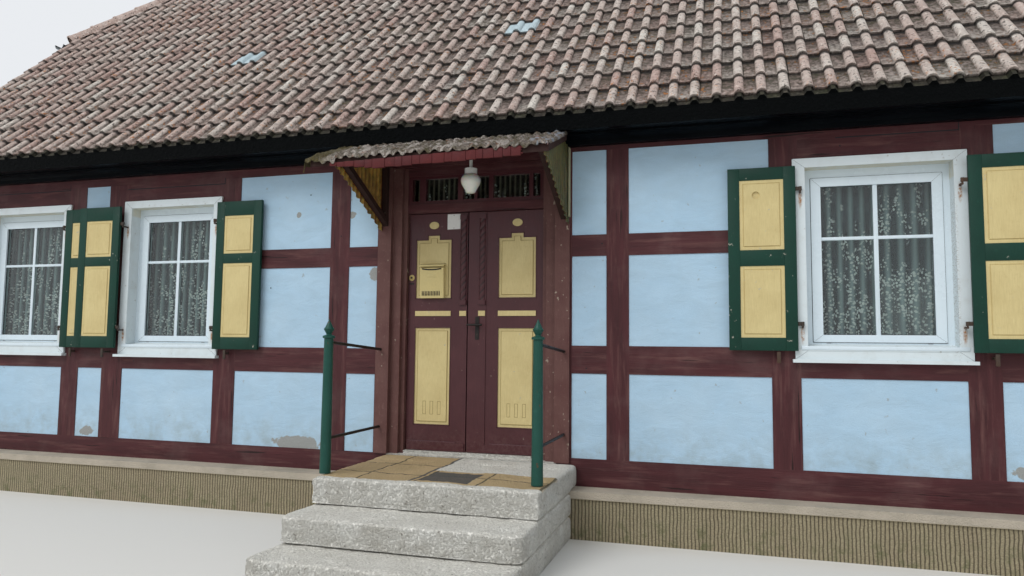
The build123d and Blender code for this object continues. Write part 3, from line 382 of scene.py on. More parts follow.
def scoredMaterial():
    material, place = newMaterial("scoredCementRender", Roughness=0.95)
    along = addNode(material.node_tree, "VectorMath", {0: place, 1: (1, 1, 0)}, operation="DOT_PRODUCT")
    wobble = cloud(place, 7.0, 3.0).outputs[0]
    swayed = calculate("MULTIPLY_ADD", wobble, scored["sway"], along.outputs["Value"])
    ridges = calculate("PINGPONG", swayed, scored["grooveSpacing"] / 2)
    body = both(spread(ridges, 0.0015, 0.007, 1.0, 0.0), within(place, 2, -1, 0.311))
    grit = grain(place, 0.012, 0.3, 0.7)
    clouds = grain(place, 0.3, 0.4, 0.75)
    lip = within(place, 2, 0.317, 0.6)
    moss = both(grain(place, 0.1, 0.5, 0.65, detail=7), within(place, 2, -1, 0.16, soft=0.1))
    colour = coats(scored["render"], (clouds, 0.5, scored["cloud"]), (grit, 0.35, scored["dark"]),
                   (body, 0.9, scored["dark"]), (lip, scored["lip"]),
                   (both(lip, clouds), 0.5, scored["lipStain"]), (moss, 0.7, scored["moss"]))
    return surface(material, colour, (grit, 0.006))


# weathered pantiles: pinkish grey clay lightened as painted sunlight, pans painted darker as painted shade,
# with moss and litter, and a painted shadow under each nose
roof = {"gauge": 0.293, "pitchAcross": 13.706 / 84, "rollWidth": 0.078, "rollHeight": 0.036, "tail": 0.022,
        "lap": 0.05, "eaveStart": 0.055, "seed": 11, "columns": 84, "rows": 21,
        "hipColumns": 25, "hipRows": 9,
        "acrossStops": (0, 0.02, 0.055, 0.075, 0.083, 0.092, 0.105, 0.122, 0.139, 0.152),
        "upStops": (0, 0.245, 0.272), "ridgeY": 4.0, "ridgeEnd": 5.26, "ridgeHeight": 7.713,
        "verge": 6.853, "eaveOut": 4.35, "eaveHeight": 3.365, "pitch": 45,
        "hipFeet": (2.033, 5.967), "hipHeight": 5.748, "hipPitch": 51, "hipPlan": (1.967, 1.593),
        "clay": "#c6aba1", "grey": "#e3ddd3", "brown": "#9c7a6e", "pan": "#52413a", "lichen": "#f0ece2",
        "litter": "#241a14", "moss": "#4d5130", "leaf": "#b3702e", "shadow": "#15100d", "glass": "#c4d6dc",
        "glassTiles": {(22, 6), (23, 6), (42, 6), (43, 6)}}


def tileMaterial(name, bedding=False):
    material, place = newMaterial(name, Roughness=0.93)
    blotch = grain(place, 0.22, 0.35, 0.7)
    lichen = grain(place, 0.025, 0.56, 0.66, detail=7)
    litter = grain(place, 0.035, 0.42, 0.6, detail=6)
    grit = grain(place, 0.006, 0.3, 0.7, detail=3)
    if bedding:
        # upright faces, the eave edge under the tiles, painted near-black: black paint like the cornice and
        # painted shade under the tile edge
        face = spread(facing(place), 0.5, 0.3)
        colour = coats("#3b342b", (blotch, "#34361f"), (litter, 0.7, "#15110e"),
                       (lichen, 0.3, "#8b8474"), (face, "#020405"))
        dulled = {"Specular_IOR_Level": spread(face, toMin=0.5, toMax=0.1)}
    else:
        tone, pan, shade = (stored(place, name) for name in ("tileTone", "tilePan", "tileShade"))
        patch = grain(place, 0.9, 0.4, 0.7)
        specks = grain(place, 0.028, 0.57, 0.62, detail=7)
        leaves = both(grain(place, 0.035, 0.62, 0.64, detail=2), grain(place, 0.5, 0.45, 0.6))
        # the clear tiles are painted opaque pale blue-grey as a painted reflection of the sky
        glazed = calculate("GREATER_THAN", tone, 1.5)
        # the clay is lightened as painted sunlight; the pans are painted darker as painted shade, with litter
        # and moss; tileShade is a painted shadow under each nose
        colour = coats(roof["clay"], (tone, roof["grey"]), (blotch, 0.5, roof["brown"]),
                       (lichen, 0.7, roof["lichen"]), (specks, 0.8, roof["litter"]),
                       (pan, 0.85, roof["pan"]), (both(pan, litter), 0.95, roof["litter"]),
                       (both(pan, both(patch, litter)), 0.7, roof["moss"]), (leaves, 0.8, roof["leaf"]),
                       (glazed, roof["glass"]), (shade, 0.93, roof["shadow"]))
        dulled = {}
    return surface(material, colour, (litter, 0.008), (grit, 0.0015), **dulled)


tileClay = tileMaterial("weatheredClayPantile")
mossyBedding = tileMaterial("mossyTileBedding", bedding=True)


def tileLayers(bm):
    return [bm.verts.layers.float.new(name) for name in ("tilePan", "tileTone", "tileShade")]


def pantile():
    # one tile: upper side of pan and roll, its lower edge turned down, x across, y up the slope
    across, length = roof["pitchAcross"], roof["gauge"] + roof["lap"]
    bm = bmesh.new()
    addGrid(bm, 10, 3, placed((across / 2, length / 2, 0), size=(across / 2, length / 2, 1)))
    pan, _, shade = tileLayers(bm)
    acrossStops, upStops = (*roof["acrossStops"], across), (*roof["upStops"], length)
    half = roof["rollWidth"] / 2
    centre = across - half - 0.001
    for vert in bm.verts:
        vert.co.x = acrossStops[round(vert.co.x / across * 10)]
        vert.co.y = upStops[round(vert.co.y / length * 3)]
        vert[shade] = 1.0 if vert.co.y > 0.26 else 0.0
        inRoll = 1 - min(1, abs(vert.co.x - centre) / half) ** 2
        vert.co.z = roof["rollHeight"] * math.sqrt(inRoll) + 0.004 * (1 - vert.co.x / across)
        vert.co.z += roof["tail"] * (1 - vert.co.y / length)
        # the pans take painted shade and litter, with less of both at the nose
        vert[pan] = 0.0 if inRoll >= 0.2 else 1.0 if vert.co.y > 0.1 else 0.4     # bare clay at the nose
    nose = [edge for edge in bm.edges if edge.is_boundary and max(v.co.y for v in edge.verts) < 0.001]
    lip = bmesh.ops.extrude_edge_only(bm, edges=nose)
    for vert in [v for v in lip["geom"] if isinstance(v, bmesh.types.BMVert)]:
        vert.co.z -= roof["tail"] + 0.004
        vert.co.y += 0.004
        vert[shade] = 1.0
    return bm


def layTiles(name, origin, across, up, counts, cuts, seed):
    # rows of tiles on one slope: origin at its lower corner, directions across and up the slope
    random.seed(roof["seed"] + seed)
    across, up = Vector(across).normalized(), Vector(up).normalized()
    turn = Matrix((across, up, across.cross(up))).transposed().to_4x4()
    one = pantile()
    bm = bmesh.new()
    tone = one.verts.layers.float["tileTone"]
    for row in range(counts[1]):
        rowShift = random.uniform(-0.006, 0.006)
        for column in range(counts[0]):
            skew = Matrix.Rotation(math.radians(random.uniform(-0.9, 0.9)), 4, "Z")
            tilt = Matrix.Rotation(math.radians(random.uniform(-0.5, 0.5)), 4, "X")
            spot = Vector(origin) + across * (column * roof["pitchAcross"] + random.uniform(-0.003, 0.003))
            spot += up * (row * roof["gauge"] + roof["eaveStart"] + rowShift + random.uniform(-0.006, 0.006))
            shade = min(1, max(0, random.gauss(0.3 + 0.4 * column / counts[0], 0.3)))
            if name == "roofTilesFront" and (column, row) in roof["glassTiles"]:
                shade = 2.0                     # a clear tile over the loft
            for vert in one.verts:
                vert[tone] = shade
            addMoved(bm, one, Matrix.Translation(spot) @ turn @ skew @ tilt)
    one.free()
    for point, normal in cuts:
        cutAway(bm, point, normal)
    finishPiece(name, bm, tileClay, sharp=60, keepFaces=True)


def tileRoof():
    verge, ridge, feet = roof["verge"], roof["ridgeY"], roof["hipFeet"]
    planX, planY = roof["hipPlan"]              # square to a hip, seen from above
    rise = math.sin(math.radians(roof["pitch"]))
    for index, (label, way) in enumerate((("Front", 1), ("Back", -1))):
        cuts = [((side * verge, feet[index], 0), (side * planX, way * planY, 0)) for side in (-1, 1)]
        cuts.append(((0, ridge - way * 0.01, 0), (0, way, 0)))
        layTiles("roofTiles" + label, (-way * verge, ridge - way * roof["eaveOut"], roof["eaveHeight"]),
                 (way, 0, 0), (0, way * rise, rise), (roof["columns"], roof["rows"]), cuts, index + 1)
    slope = math.radians(roof["hipPitch"])
    for label, side in (("Left", -1), ("Right", 1)):
        cuts = [((side * verge, foot, 0), (-side * planX, math.copysign(planY, foot - ridge), 0))
                for foot in feet]
        corner = (side * verge, feet[0] if side == 1 else feet[1], roof["hipHeight"])
        layTiles("roofTilesHip" + label, corner, (0, side, 0), (-side * math.cos(slope), 0, math.sin(slope)),
                 (roof["hipColumns"], roof["hipRows"]), cuts, 3 + side)


tileRoof()
print("roof tiled")

# tapered cap tiles, each over the tail of the one below, and a round cap where the ridge meets two hips
caps = {"length": 0.40, "lap": 0.05, "tailRadius": 0.112, "headRadius": 0.096, "thick": 0.016,
        "cornerRadius": 0.1135, "tone": 0.25, "seed": 5}


def capTile(length):
    # along x from its wide tail to its head, open underneath
    bm = bmesh.new()
    tail, head = caps["tailRadius"], caps["headRadius"]
    profile = [(0, tail - caps["thick"]), (0, tail), (0.03, tail), (0.034, tail - 0.006), (length, head)]
    chain = [bm.verts.new((x, radius, 0)) for x, radius in profile]
    edges = [bm.edges.new(pair) for pair in zip(chain, chain[1:])]
    bmesh.ops.spin(bm, geom=chain + edges, cent=(0, 0, 0), axis=(1, 0, 0), angle=math.pi, steps=12)
    faceUp(bm, lambda face: face.calc_area())
    return bm


def layCaps(bm, start, end, first=0.0):
    start, end = Vector(start), Vector(end)
    along = (end - start).normalized()
    upward = (Vector((0, 0, 1)) - along * along.z).normalized()
    turn = Matrix((along, upward.cross(along), upward)).transposed().to_4x4()
    reach = (end - start).length - first
    count = max(1, round(reach / (caps["length"] - caps["lap"])))
    tile = capTile(reach / count + caps["lap"])
    for index in range(count):
        spot = start + along * (first + index * reach / count)
        jog = Matrix.Rotation(math.radians(random.uniform(-1.2, 1.2)), 4, "X")
        addMoved(bm, tile, Matrix.Translation(spot) @ turn @ jog)
    tile.free()


def makeCaps():
    random.seed(caps["seed"])
    ridge, hips, corners = bmesh.new(), bmesh.new(), bmesh.new()
    end, middle, top = roof["ridgeEnd"], roof["ridgeY"], roof["ridgeHeight"]
    layCaps(ridge, (-end, middle, top), (end, middle, top))
    for side in (-1, 1):
        for foot in roof["hipFeet"]:
            corner = (side * roof["verge"], foot, roof["hipHeight"])
            layCaps(hips, corner, (side * end, middle, top + 0.002), first=0.02)
        addBall(corners, (side * (end + 0.002), middle, top), caps["cornerRadius"], 32, 20)
    for bm in (ridge, hips, corners):
        _, tone, _ = tileLayers(bm)
        for vert in bm.verts:
            vert[tone] = caps["tone"]
    for label, bm in (("ridge", ridge), ("hip", hips)):
        finishPiece(label + "CapTiles", bm, tileClay, sharp=50, keepFaces=True,
                    stands=["ridge_cap" if label == "ridge" else "hip_caps"])
    finishPiece("threeWayCapTiles", corners, tileClay)


makeCaps()
print("caps laid")

# thick paint in the shutters' two colours, brushed on boards, scuffed and chipped to grey wood in small spots
shutterLook = {"green": "#0c352a", "greenDark": "#07231b", "greenWorn": "#174639", "wood": "#a9a79a",
               "yellow": "#d6c58f", "yellowDark": "#7e6a3c", "yellowWorn": "#bba673", "chip": 0.05,
               "tall": 1.418, "thick": 0.03, "stile": 0.088, "hingeIn": 0.19, "strap": 0.3}


def paintedWood(name, paint, dark, worn, ground, gloss=0.45, stretch=(1, 1, 12)):
    # brushed paint that fades and scuffs, chipped in small spots down to its ground
    material, place = newMaterial(name, Roughness=gloss, Specular_IOR_Level=0.25)
    brush = grain(place, 0.006, 0.3, 0.7, stretch)
    fade = grain(place, 0.25, 0.35, 0.75)
    scuffs = grain(place, 0.03, 0.58, 0.68, detail=7)
    chips = grain(place, shutterLook["chip"], 0.665, 0.685, detail=8)
    colour = coats(paint, (fade, 0.5, worn), (brush, 0.18, dark), (scuffs, 0.35, worn), (chips, 0.8, ground))
    return surface(material, colour, (brush, 0.0006), Roughness=spread(fade, toMin=gloss, toMax=gloss + 0.25))


greenPaint = paintedWood("brushedGreenOilPaint", shutterLook["green"], shutterLook["greenDark"],
                         shutterLook["greenWorn"], shutterLook["wood"])
yellowPaint = paintedWood("brushedYellowOilPaint", shutterLook["yellow"], shutterLook["yellowDark"],
                          shutterLook["yellowWorn"], shutterLook["wood"])
wornIron = paintedWood("rustyWroughtIron", "#3a3733", "#241d19", "#6b4a35", "#8a4f2c", 0.6, (1, 1, 1))

# the hinge pins beside the windows, and the fields above the foot of each window's shutters
pins = {"1Left": -5.571, "1Right": -4.477, "2Left": -3.679, "2Right": -2.623,
        "3Left": 2.686, "3Right": 3.775, "4Left": 4.534, "4Right": 5.628}
shutterFields = {1.449: [(0.115, 0.819), (0.914, 1.279)], 1.492: [(0.099, 0.650), (0.775, 1.321)]}


def describeShutter(name, pin):
    # the right half of the front stands higher, and two shutters hang over their neighbours
    window, side = name[0], name[1:]
    start = pin - 0.535 if side == "Left" else pin + 0.035
    return {"name": name, "side": side, "pin": pin, "x": (start, start + 0.5),
            "low": 1.449 if window in "12" else 1.492,
            "back": -0.07 if name in ("2Left", "3Right") else -0.03,
            "body": "shutter_" + window + "_" + side.lower() if window in "23" else "house"}


shutters = [describeShutter(name, pin) for name, pin in pins.items()]


def frameOfBoards(bm, xs, zs, low, high, ease=0.002):
    # stiles between the outer pairs of xs, rails between the pairs of zs, let in between them
    addBlock(bm, (xs[0], low, zs[0]), (xs[1], high, zs[-1]), ease)
    addBlock(bm, (xs[-2], low, zs[0]), (xs[-1], high, zs[-1]), ease)
    for bottom, top in zip(zs[0::2], zs[1::2]):
        addBlock(bm, (xs[1], low + 0.0006, bottom), (xs[-2], high - 0.0006, top), ease)


def fieldedPanel(bm, x0, x1, z0, z1, y, way):
    # margin, quirk and raised field, from the panel's edge inwards: (width, rise) of each step
    half = ((x1 - x0) / 2, (z1 - z0) / 2, 1)
    made = addGrid(bm, 1, 1, placed(((x0 + x1) / 2, y, (z0 + z1) / 2), 90 * way, "X", half))
    face = made["verts"][0].link_faces[0]
    for width, height in ((0.024, 0), (0.0015, -0.003), (0.002, 0), (0.004, 0.008)):
        bmesh.ops.inset_individual(bm, faces=[face], thickness=width, depth=height, use_even_offset=True)


def sinkFingerHole(bm, centre, radius=0.029):
    # a round finger hole bored into the front of the raised field
    def onField(face):
        return face.normal.y < -0.9 and abs(face.calc_center_median().y - centre.y) < 0.004

    for step in range(12):
        way = Vector((math.cos(step * math.tau / 12), 0, math.sin(step * math.tau / 12)))
        front = [face for face in bm.faces if onField(face)]
        edges = {edge for face in front for edge in face.edges}
        verts = {vert for face in front for vert in face.verts}
        bmesh.ops.bisect_plane(bm, geom=front + list(edges) + list(verts), plane_co=centre + way * radius,
                               plane_no=way)
    hole = [face for face in bm.faces
            if onField(face) and (face.calc_center_median() - centre).xz.length < radius * 0.9]
    bmesh.ops.inset_region(bm, faces=hole, thickness=0.001, depth=-0.014)


def makeShutter(row):
    name, body, pin, back, low = (row[key] for key in ("name", "body", "pin", "back", "low"))
    x0, x1 = row["x"]
    front, high = back - shutterLook["thick"], low + shutterLook["tall"]
    stile, strapLong = shutterLook["stile"], shutterLook["strap"]
    fields = [(low + a, low + b) for a, b in shutterFields[low]]
    wood, yellow, iron = bmesh.new(), bmesh.new(), bmesh.new()
    frameOfBoards(wood, (x0, x0 + stile, x1 - stile, x1), (low, *fields[0], *fields[1], high), front, back)
    for z0, z1 in fields:
        for way, y in ((1, front + 0.006), (-1, back - 0.006)):
            fieldedPanel(yellow, x0 + stile, x1 - stile, z0, z1, y, way)
    if name == "3Left":
        sinkFingerHole(yellow, Vector(((x0 + x1) / 2 - 0.04, front + 0.001, high - 0.215)))
    edge, inward = (x1, -1) if row["side"] == "Left" else (x0, 1)
    middle = (front + back) / 2
    for z in (low + shutterLook["hingeIn"], high - shutterLook["hingeIn"]):
        ring = [(0.0063, 0), (0.0123, 0), (0.0123, 0.03), (0.0063, 0.03), (0.0063, 0)]
        addTurned(iron, ring, (pin, middle, z))
        tongue = sorted((pin - inward * 0.008, edge))
        addBlock(iron, (tongue[0], middle - 0.003, z), (tongue[1], middle + 0.003, z + 0.03), 0.0006)
        strap = sorted((edge, edge + inward * strapLong))         # on the side that faces the wall
        addBlock(iron, (strap[0], back - 0.0005, z), (strap[1], back + 0.0025, z + 0.03), 0.0008)
        for reach in (0.03, 0.12, 0.21, 0.28):
            addBall(iron, (edge + inward * reach, back + 0.0025, z + 0.015), 0.005, 8, 5)
    node = [body] if body != "house" else ["outer_shutters"] if name == "1Left" else []
    finishPiece("shutterFrame" + name, wood, greenPaint, body, node)
    finishPiece("shutterFields" + name, yellow, yellowPaint, body, sharp=25)
    finishPiece("shutterHinges" + name, iron, wornIron, body)


for row in shutters:
    makeShutter(row)
print("shutters hung")


def dress(material, *names):
    for name in names:
        node = cadNodes[name]
        if not node.data.materials:
            node.data.materials.append(material)
        for slot in node.material_slots:
            slot.material = material


# zinc sheet weathered to a dull grey, with a pale bloom and dark runs
def zincMaterial():
    material, place = newMaterial("weatheredZinc", Metallic=1.0, Roughness=0.5)
    bloom = grain(place, 0.08, 0.35, 0.7)
    runs = grain(place, 0.02, 0.5, 0.7, (1, 1, 6))
    colour = coats("#7f8487", (bloom, "#9aa0a2"), (runs, 0.5, "#5d6163"))
    return surface(material, colour, Roughness=spread(bloom, toMin=0.4, toMax=0.7))


# near-black paint on the cornice, dusty and flaking in small spots
def cornicePaintMaterial():
    material, place = newMaterial("blackCornicePaint", Roughness=0.35, Specular_IOR_Level=0.1)
    dust = grain(place, 0.3, 0.45, 0.8)
    brush = grain(place, 0.006, 0.3, 0.7, (20, 1, 1))
    flakes = grain(place, 0.04, 0.69, 0.71, detail=8)
    colour = coats("#03060a", (dust, 0.15, "#151c24"), (flakes, 0.7, "#5d5650"))
    return surface(material, colour, (brush, 0.0006), Roughness=spread(dust, toMin=0.3, toMax=0.65))


# white oil paint on softwood: chalky, yellowed under the head, peeling to grey wood, rust below the pins
whiteOil = {"paint": "#d3dde0", "aged": "#cdc8b2", "grime": "#a9a89f", "bare": "#8d867a", "rust": "#9a6a3c",
            "flaking": ((-3.5, 1.5, 2.75), (3.725, 1.5, 2.6)), "pinHeights": (0.19, 1.228)}


def whiteOilMaterial():
    material, place = newMaterial("chalkyWhiteOilPaint", Roughness=0.5)
    brush = grain(place, 0.005, 0.3, 0.7, (1, 1, 10))
    grime = grain(place, 0.12, 0.48, 0.8)
    peel = both(grain(place, 0.03, 0.66, 0.68, detail=8), grain(place, 0.3, 0.45, 0.6))
    heads = both(within(place, 1, -0.013, 0.12), grain(place, 0.2, 0.25, 0.5))
    heads = both(heads, within(place, 2, 2.78, 2.99, soft=0.01))
    stains = None
    for row in shutters:
        for height in whiteOil["pinHeights"]:
            below = row["low"] + height - 0.06
            spot = spread(spotAway(place, row["pin"], below, 0.016, 0.075, 2), 1.15, 0.4)
            stains = either(stains, spot) if stains else spot
    for x, low, high in whiteOil["flaking"]:
        edge = both(within(place, 0, x - 0.02, x + 0.02, soft=0.015), within(place, 2, low, high, soft=0.1))
        peel = either(peel, both(edge, grain(place, 0.016, 0.52, 0.56, (1, 1, 0.5), detail=6)))
    colour = coats(whiteOil["paint"], (heads, 0.8, whiteOil["aged"]), (grime, 0.3, whiteOil["grime"]),
                   (peel, 0.8, whiteOil["bare"]),
                   (both(stains, grain(place, 0.02, 0.35, 0.55)), whiteOil["rust"]))
    return surface(material, colour, (brush, 0.0004))


def filmedMaterial(name, ground, film, share, patch, gloss=None, **settings):
    # a smooth even surface with a breath of dust, which dulls it where a range of gloss is given
    material, place = newMaterial(name, **settings)
    dust = grain(place, *patch)
    rough = {"Roughness": spread(dust, 0.0, 1.0, *gloss)} if gloss else {}
    return surface(material, coats(ground, (both(dust, share), film)), **rough)


# oxblood gloss paint on the door, in long upright brush strokes, rubbed paler where boots reach, with painted
# shade in the rope columns' furrows
def doorPaintMaterial():
    material, place = newMaterial("oxbloodDoorPaint", Roughness=0.42, Specular_IOR_Level=0.35)
    brush = grain(place, 0.006, 0.3, 0.7, (1, 1, 25))
    fade = grain(place, 0.2, 0.4, 0.75)
    boots = both(within(place, 2, 0.4, 0.72, soft=0.08), grain(place, 0.03, 0.45, 0.6))
    chips = grain(place, 0.03, 0.69, 0.71, detail=8)
    colour = coats("#4a2529", (fade, 0.45, "#5c3437"), (brush, 0.2, "#2c1517"),
                   (boots, 0.14, "#7d6660"), (chips, 0.7, "#94847a"),
                   (stored(place, "ropeFurrowShade"), "#160b0c"))
    return surface(material, colour, (brush, 0.0007), Roughness=spread(fade, toMin=0.28, toMax=0.5))


# cast concrete steps: treads painted pale as painted sunlight, rough grey risers with pebbles and dark pits
steps = {"pale": "#fbf8ee", "grey": "#e0dfd8", "cloud": "#aca699", "puddle": "#a39d8d", "dark": "#7a7468",
         "joint": "#56503f", "flags": ("#dcc193", "#c4aa80"), "flagStain": "#a8946c", "slate": "#4b4d50",
         "flagSize": (0.46, 0.43), "jointWidth": 0.009}


def stepMaterial(name, flags=False):
    material, place = newMaterial(name, Roughness=0.92)
    clouds = grain(place, 0.25, 0.35, 0.7)
    pebbles = grain(place, 0.016, 0.42, 0.62)
    pits = grain(place, 0.03, 0.38, 0.3, detail=4)
    # the steps' tops painted pale as painted sunlight
    litTread = spread(facing(place), 0.3, 0.8)
    colour = coats(steps["grey"], (clouds, 0.55, steps["cloud"]), (litTread, 0.8, steps["pale"]),
                   (pebbles, 0.25, steps["dark"]), (pits, 0.7, steps["dark"]),
                   (both(clouds, litTread), 0.15, steps["puddle"]))
    if flags:                                   # flags laid round a bed of cement, and one slab of slate
        wide, deep = steps["flagSize"]
        first, second = (linear(shade) for shade in steps["flags"])
        bricks = {"Vector": place, "Scale": 1.0, "Mortar Size": steps["jointWidth"], "Brick Width": wide,
                  "Row Height": deep, "Color1": first, "Color2": second, "Mortar": linear(steps["joint"])}
        bricks = addNode(place.id_data, "TexBrick", bricks, offset=0.0).outputs["Color"]
        top = both(litTread, within(place, 2, 0.5, 0.7))
        border = either(within(place, 0, -2, -0.04), within(place, 1, -2, -0.64))
        laid = both(both(top, within(place, 1, -1.12, 1.0)), border)
        slate = both(within(place, 0, 0.0, 0.38), within(place, 1, -1.07, -0.69))
        crack = both(within(place, 0, -0.055, -0.03), within(place, 1, -1.12, 0.0))
        slabs = coats(bricks, (clouds, 0.4, steps["flagStain"]))
        colour = coats(colour, (laid, slabs), (both(either(slate, crack), top), 0.9, steps["slate"]))
    return surface(material, colour, (clouds, 0.014), (pebbles, 0.008))


zinc = zincMaterial()
cornicePaint = cornicePaintMaterial()
whiteOilPaint = whiteOilMaterial()
doorPaint = doorPaintMaterial()
scoredRender = scoredMaterial()
castSteps = stepMaterial("washedConcrete")
flaggedLanding = stepMaterial("flaggedConcrete", flags=True)
# extruded window plastic, even and slightly glossy
windowPlastic = filmedMaterial("whiteWindowPlastic", "#d6e3ea", "#bccbd3", 0.35, (0.25, 0.4, 0.8),
                               (0.22, 0.4), Roughness=0.28)
# float glass with a slight green tint
floatGlass = filmedMaterial("floatGlass", "#e3ece8", "#cfd8d4", 0.4, (0.15, 0.45, 0.9), (0.0, 0.06),
                            Roughness=0.02, IOR=1.5, Transmission_Weight=1.0)
# moulded milk glass, lit through
opalGlass = filmedMaterial("opalGlass", "#e4e6dd", "#c5c6b8", 0.4, (0.05, 0.4, 0.8), Roughness=0.12, IOR=1.5,
                           Subsurface_Weight=0.6, Subsurface_Scale=0.02, Coat_Weight=0.3)
# smaller things: paint, its shade in the brush marks, worn places, what shows in chips, gloss, direction
even = (1, 1, 1)
lengthwise = (14, 1, 1)
railPaint = paintedWood("glossGreenIronPaint", "#17463c", "#0c2d26", "#2b5b50", "#5b3a28", 0.3, (1, 1, 4))
blackIron = paintedWood("blackenedIron", "#1d1a19", "#0e0c0c", "#3c3532", "#5a3c2a", 0.4, even)
brass = paintedWood("tarnishedBrassPaint", "#b09a5c", "#6d5a2c", "#c9ba88", "#5b4a28", 0.3, even)
creamEnamel = paintedWood("creamStoveEnamel", "#d6c489", "#8d7b4c", "#c7b884", "#77603a", 0.3, (1, 1, 3))
plateEnamel = paintedWood("whitePlateEnamel", "#e6e6e2", "#b5b5b0", "#d3d3cf", "#3f4244", 0.2, even)
canopyWood = paintedWood("flakedRedCanopyPaint", "#4e1c1e", "#240d0e", "#6f3130", "#33231f", 0.6, lengthwise)
sootyBoards = paintedWood("sootyCanopyBoards", "#2c1a17", "#150c0b", "#45302a", "#5a4c42", 0.7, lengthwise)
jambPaint = paintedWood("chippedJambPaint", "#5c3b38", "#3d2523", "#7d6059", "#a39686", 0.5)
boards = paintedWood("oiledFloorBoards", "#7a5a3c", "#4a3220", "#94714c", "#5a4632", 0.5, lengthwise)
darkSeal = paintedWood("blackRubberSeal", "#22262a", "#15181b", "#2e3338", "#3d4348", 0.6, even)
greyPlastic = paintedWood("greyDrainPlastic", "#a8adb2", "#7d8286", "#b9bdc0", "#8c9093", 0.4, even)
darkGrooveLines = paintedWood("darkLinesInPanelGrooves", "#8f7a48", "#6b5a34", "#a08b58", "#6b5a3a", stretch=even)
paleBatten = paintedWood("bleachedBatten", "#a5a083", "#6d6a52", "#8f9370", "#6b6a58", 0.8)

dress(timberUpright, "front_posts", "back_posts", "gable_posts")
dress(jambPaint, "door_jambs")
dress(timberLong, "front_rails", "front_sill_beams", "front_wall_plate", "back_beams", "back_rails",
      "door_transom")
dress(timberAcross, "gable_beams", "gable_rails", "rafters_front", "rafters_back", "ceiling_beams")
dress(plasterFront, "front_panels")
dress(plasterElsewhere, "back_panels", "gable_panels")
dress(scoredRender, "front_plinth", "back_plinth", "side_plinths")
dress(mossyBedding, "roof_front_slope", "roof_back_slope", "roof_half_hips")
dress(zinc, "half_hip_gutters")
dress(cornicePaint, "eaves_cornices")
dress(whiteOilPaint, "window_casings", "window_ledges")
dress(windowPlastic, "window_frames")
dress(floatGlass, "window_panes")
dress(doorPaint, "door_leaf_left", "door_leaf_right", "fanlight_frame")
dress(yellowPaint, "door_panels_left", "door_panels_right")
dress(creamEnamel, "letter_box")
dress(plateEnamel, "number_plate", "lamp_collar")
dress(blackIron, "door_handle", "railing_bars")
dress(wornIron, "hinge_pins")
dress(sootyBoards, "canopy_brackets", "canopy_roof")
dress(opalGlass, "lamp_globe")
dress(flaggedLanding, "landing")
dress(castSteps, "upper_step", "lower_step", "door_threshold")
dress(railPaint, "railing_posts")
dress(boards, "ground_floor")
print("frame dressed")

# window openings, from left to right seen from outside, in each wall's own frame
leftPair = [(-5.585, -4.463, 1.473, 2.872), (-3.693, -2.609, 1.473, 2.872)]
gablePair = [(-2.3, -1.2, 1.473, 2.872), (1.2, 2.3, 1.473, 2.872)]
openings = {"front": leftPair + [(2.672, 3.789, 1.516, 2.915), (4.520, 5.642, 1.516, 2.915)],
            "back": leftPair + [(2.609, 3.693, 1.473, 2.872), (4.463, 5.585, 1.473, 2.872)],
            "left": gablePair, "right": gablePair}
windowLook = {"uprightBar": 0.032, "levelBar": 0.025, "levelAt": 0.645, "seal": 0.004, "jointWidth": 0.0012,
              "glassInset": (0.172, 0.101, 0.148), "sashInset": (0.1, 0.045, 0.08),
              "drainSize": (0.034, 0.006), "curtainAt": 0.235, "foldWidth": 0.088, "foldDepth": 0.02,
              "rodRadius": 0.007, "hookBack": 0.1538, "seed": 21}


def addDiagonal(bm, corner, inward, length, y):
    # hairline of a mitred corner, from the corner inwards
    middle = (corner[0] + inward[0] * length / 2, y, corner[1] + inward[1] * length / 2)
    slope = math.degrees(math.atan2(inward[1], inward[0]))
    size = (length * math.sqrt(2), 0.0008, windowLook["jointWidth"])
    bmesh.ops.create_cube(bm, size=1, matrix=placed(middle, -slope, "Y", size))


def addStrips(bm, x0, x1, z0, z1, out, low, high):
    # four thin strips along a rectangle, outside it, or inside where out is negative
    for a, b in (sorted((x0, x0 - out)), sorted((x1, x1 + out))):
        addBlock(bm, (a, low, z0), (b, high, z1), 0.0003)
    for a, b in (sorted((z0, z0 - out)), sorted((z1, z1 + out))):
        addBlock(bm, (x0, low, a), (x1, high, b), 0.0003)


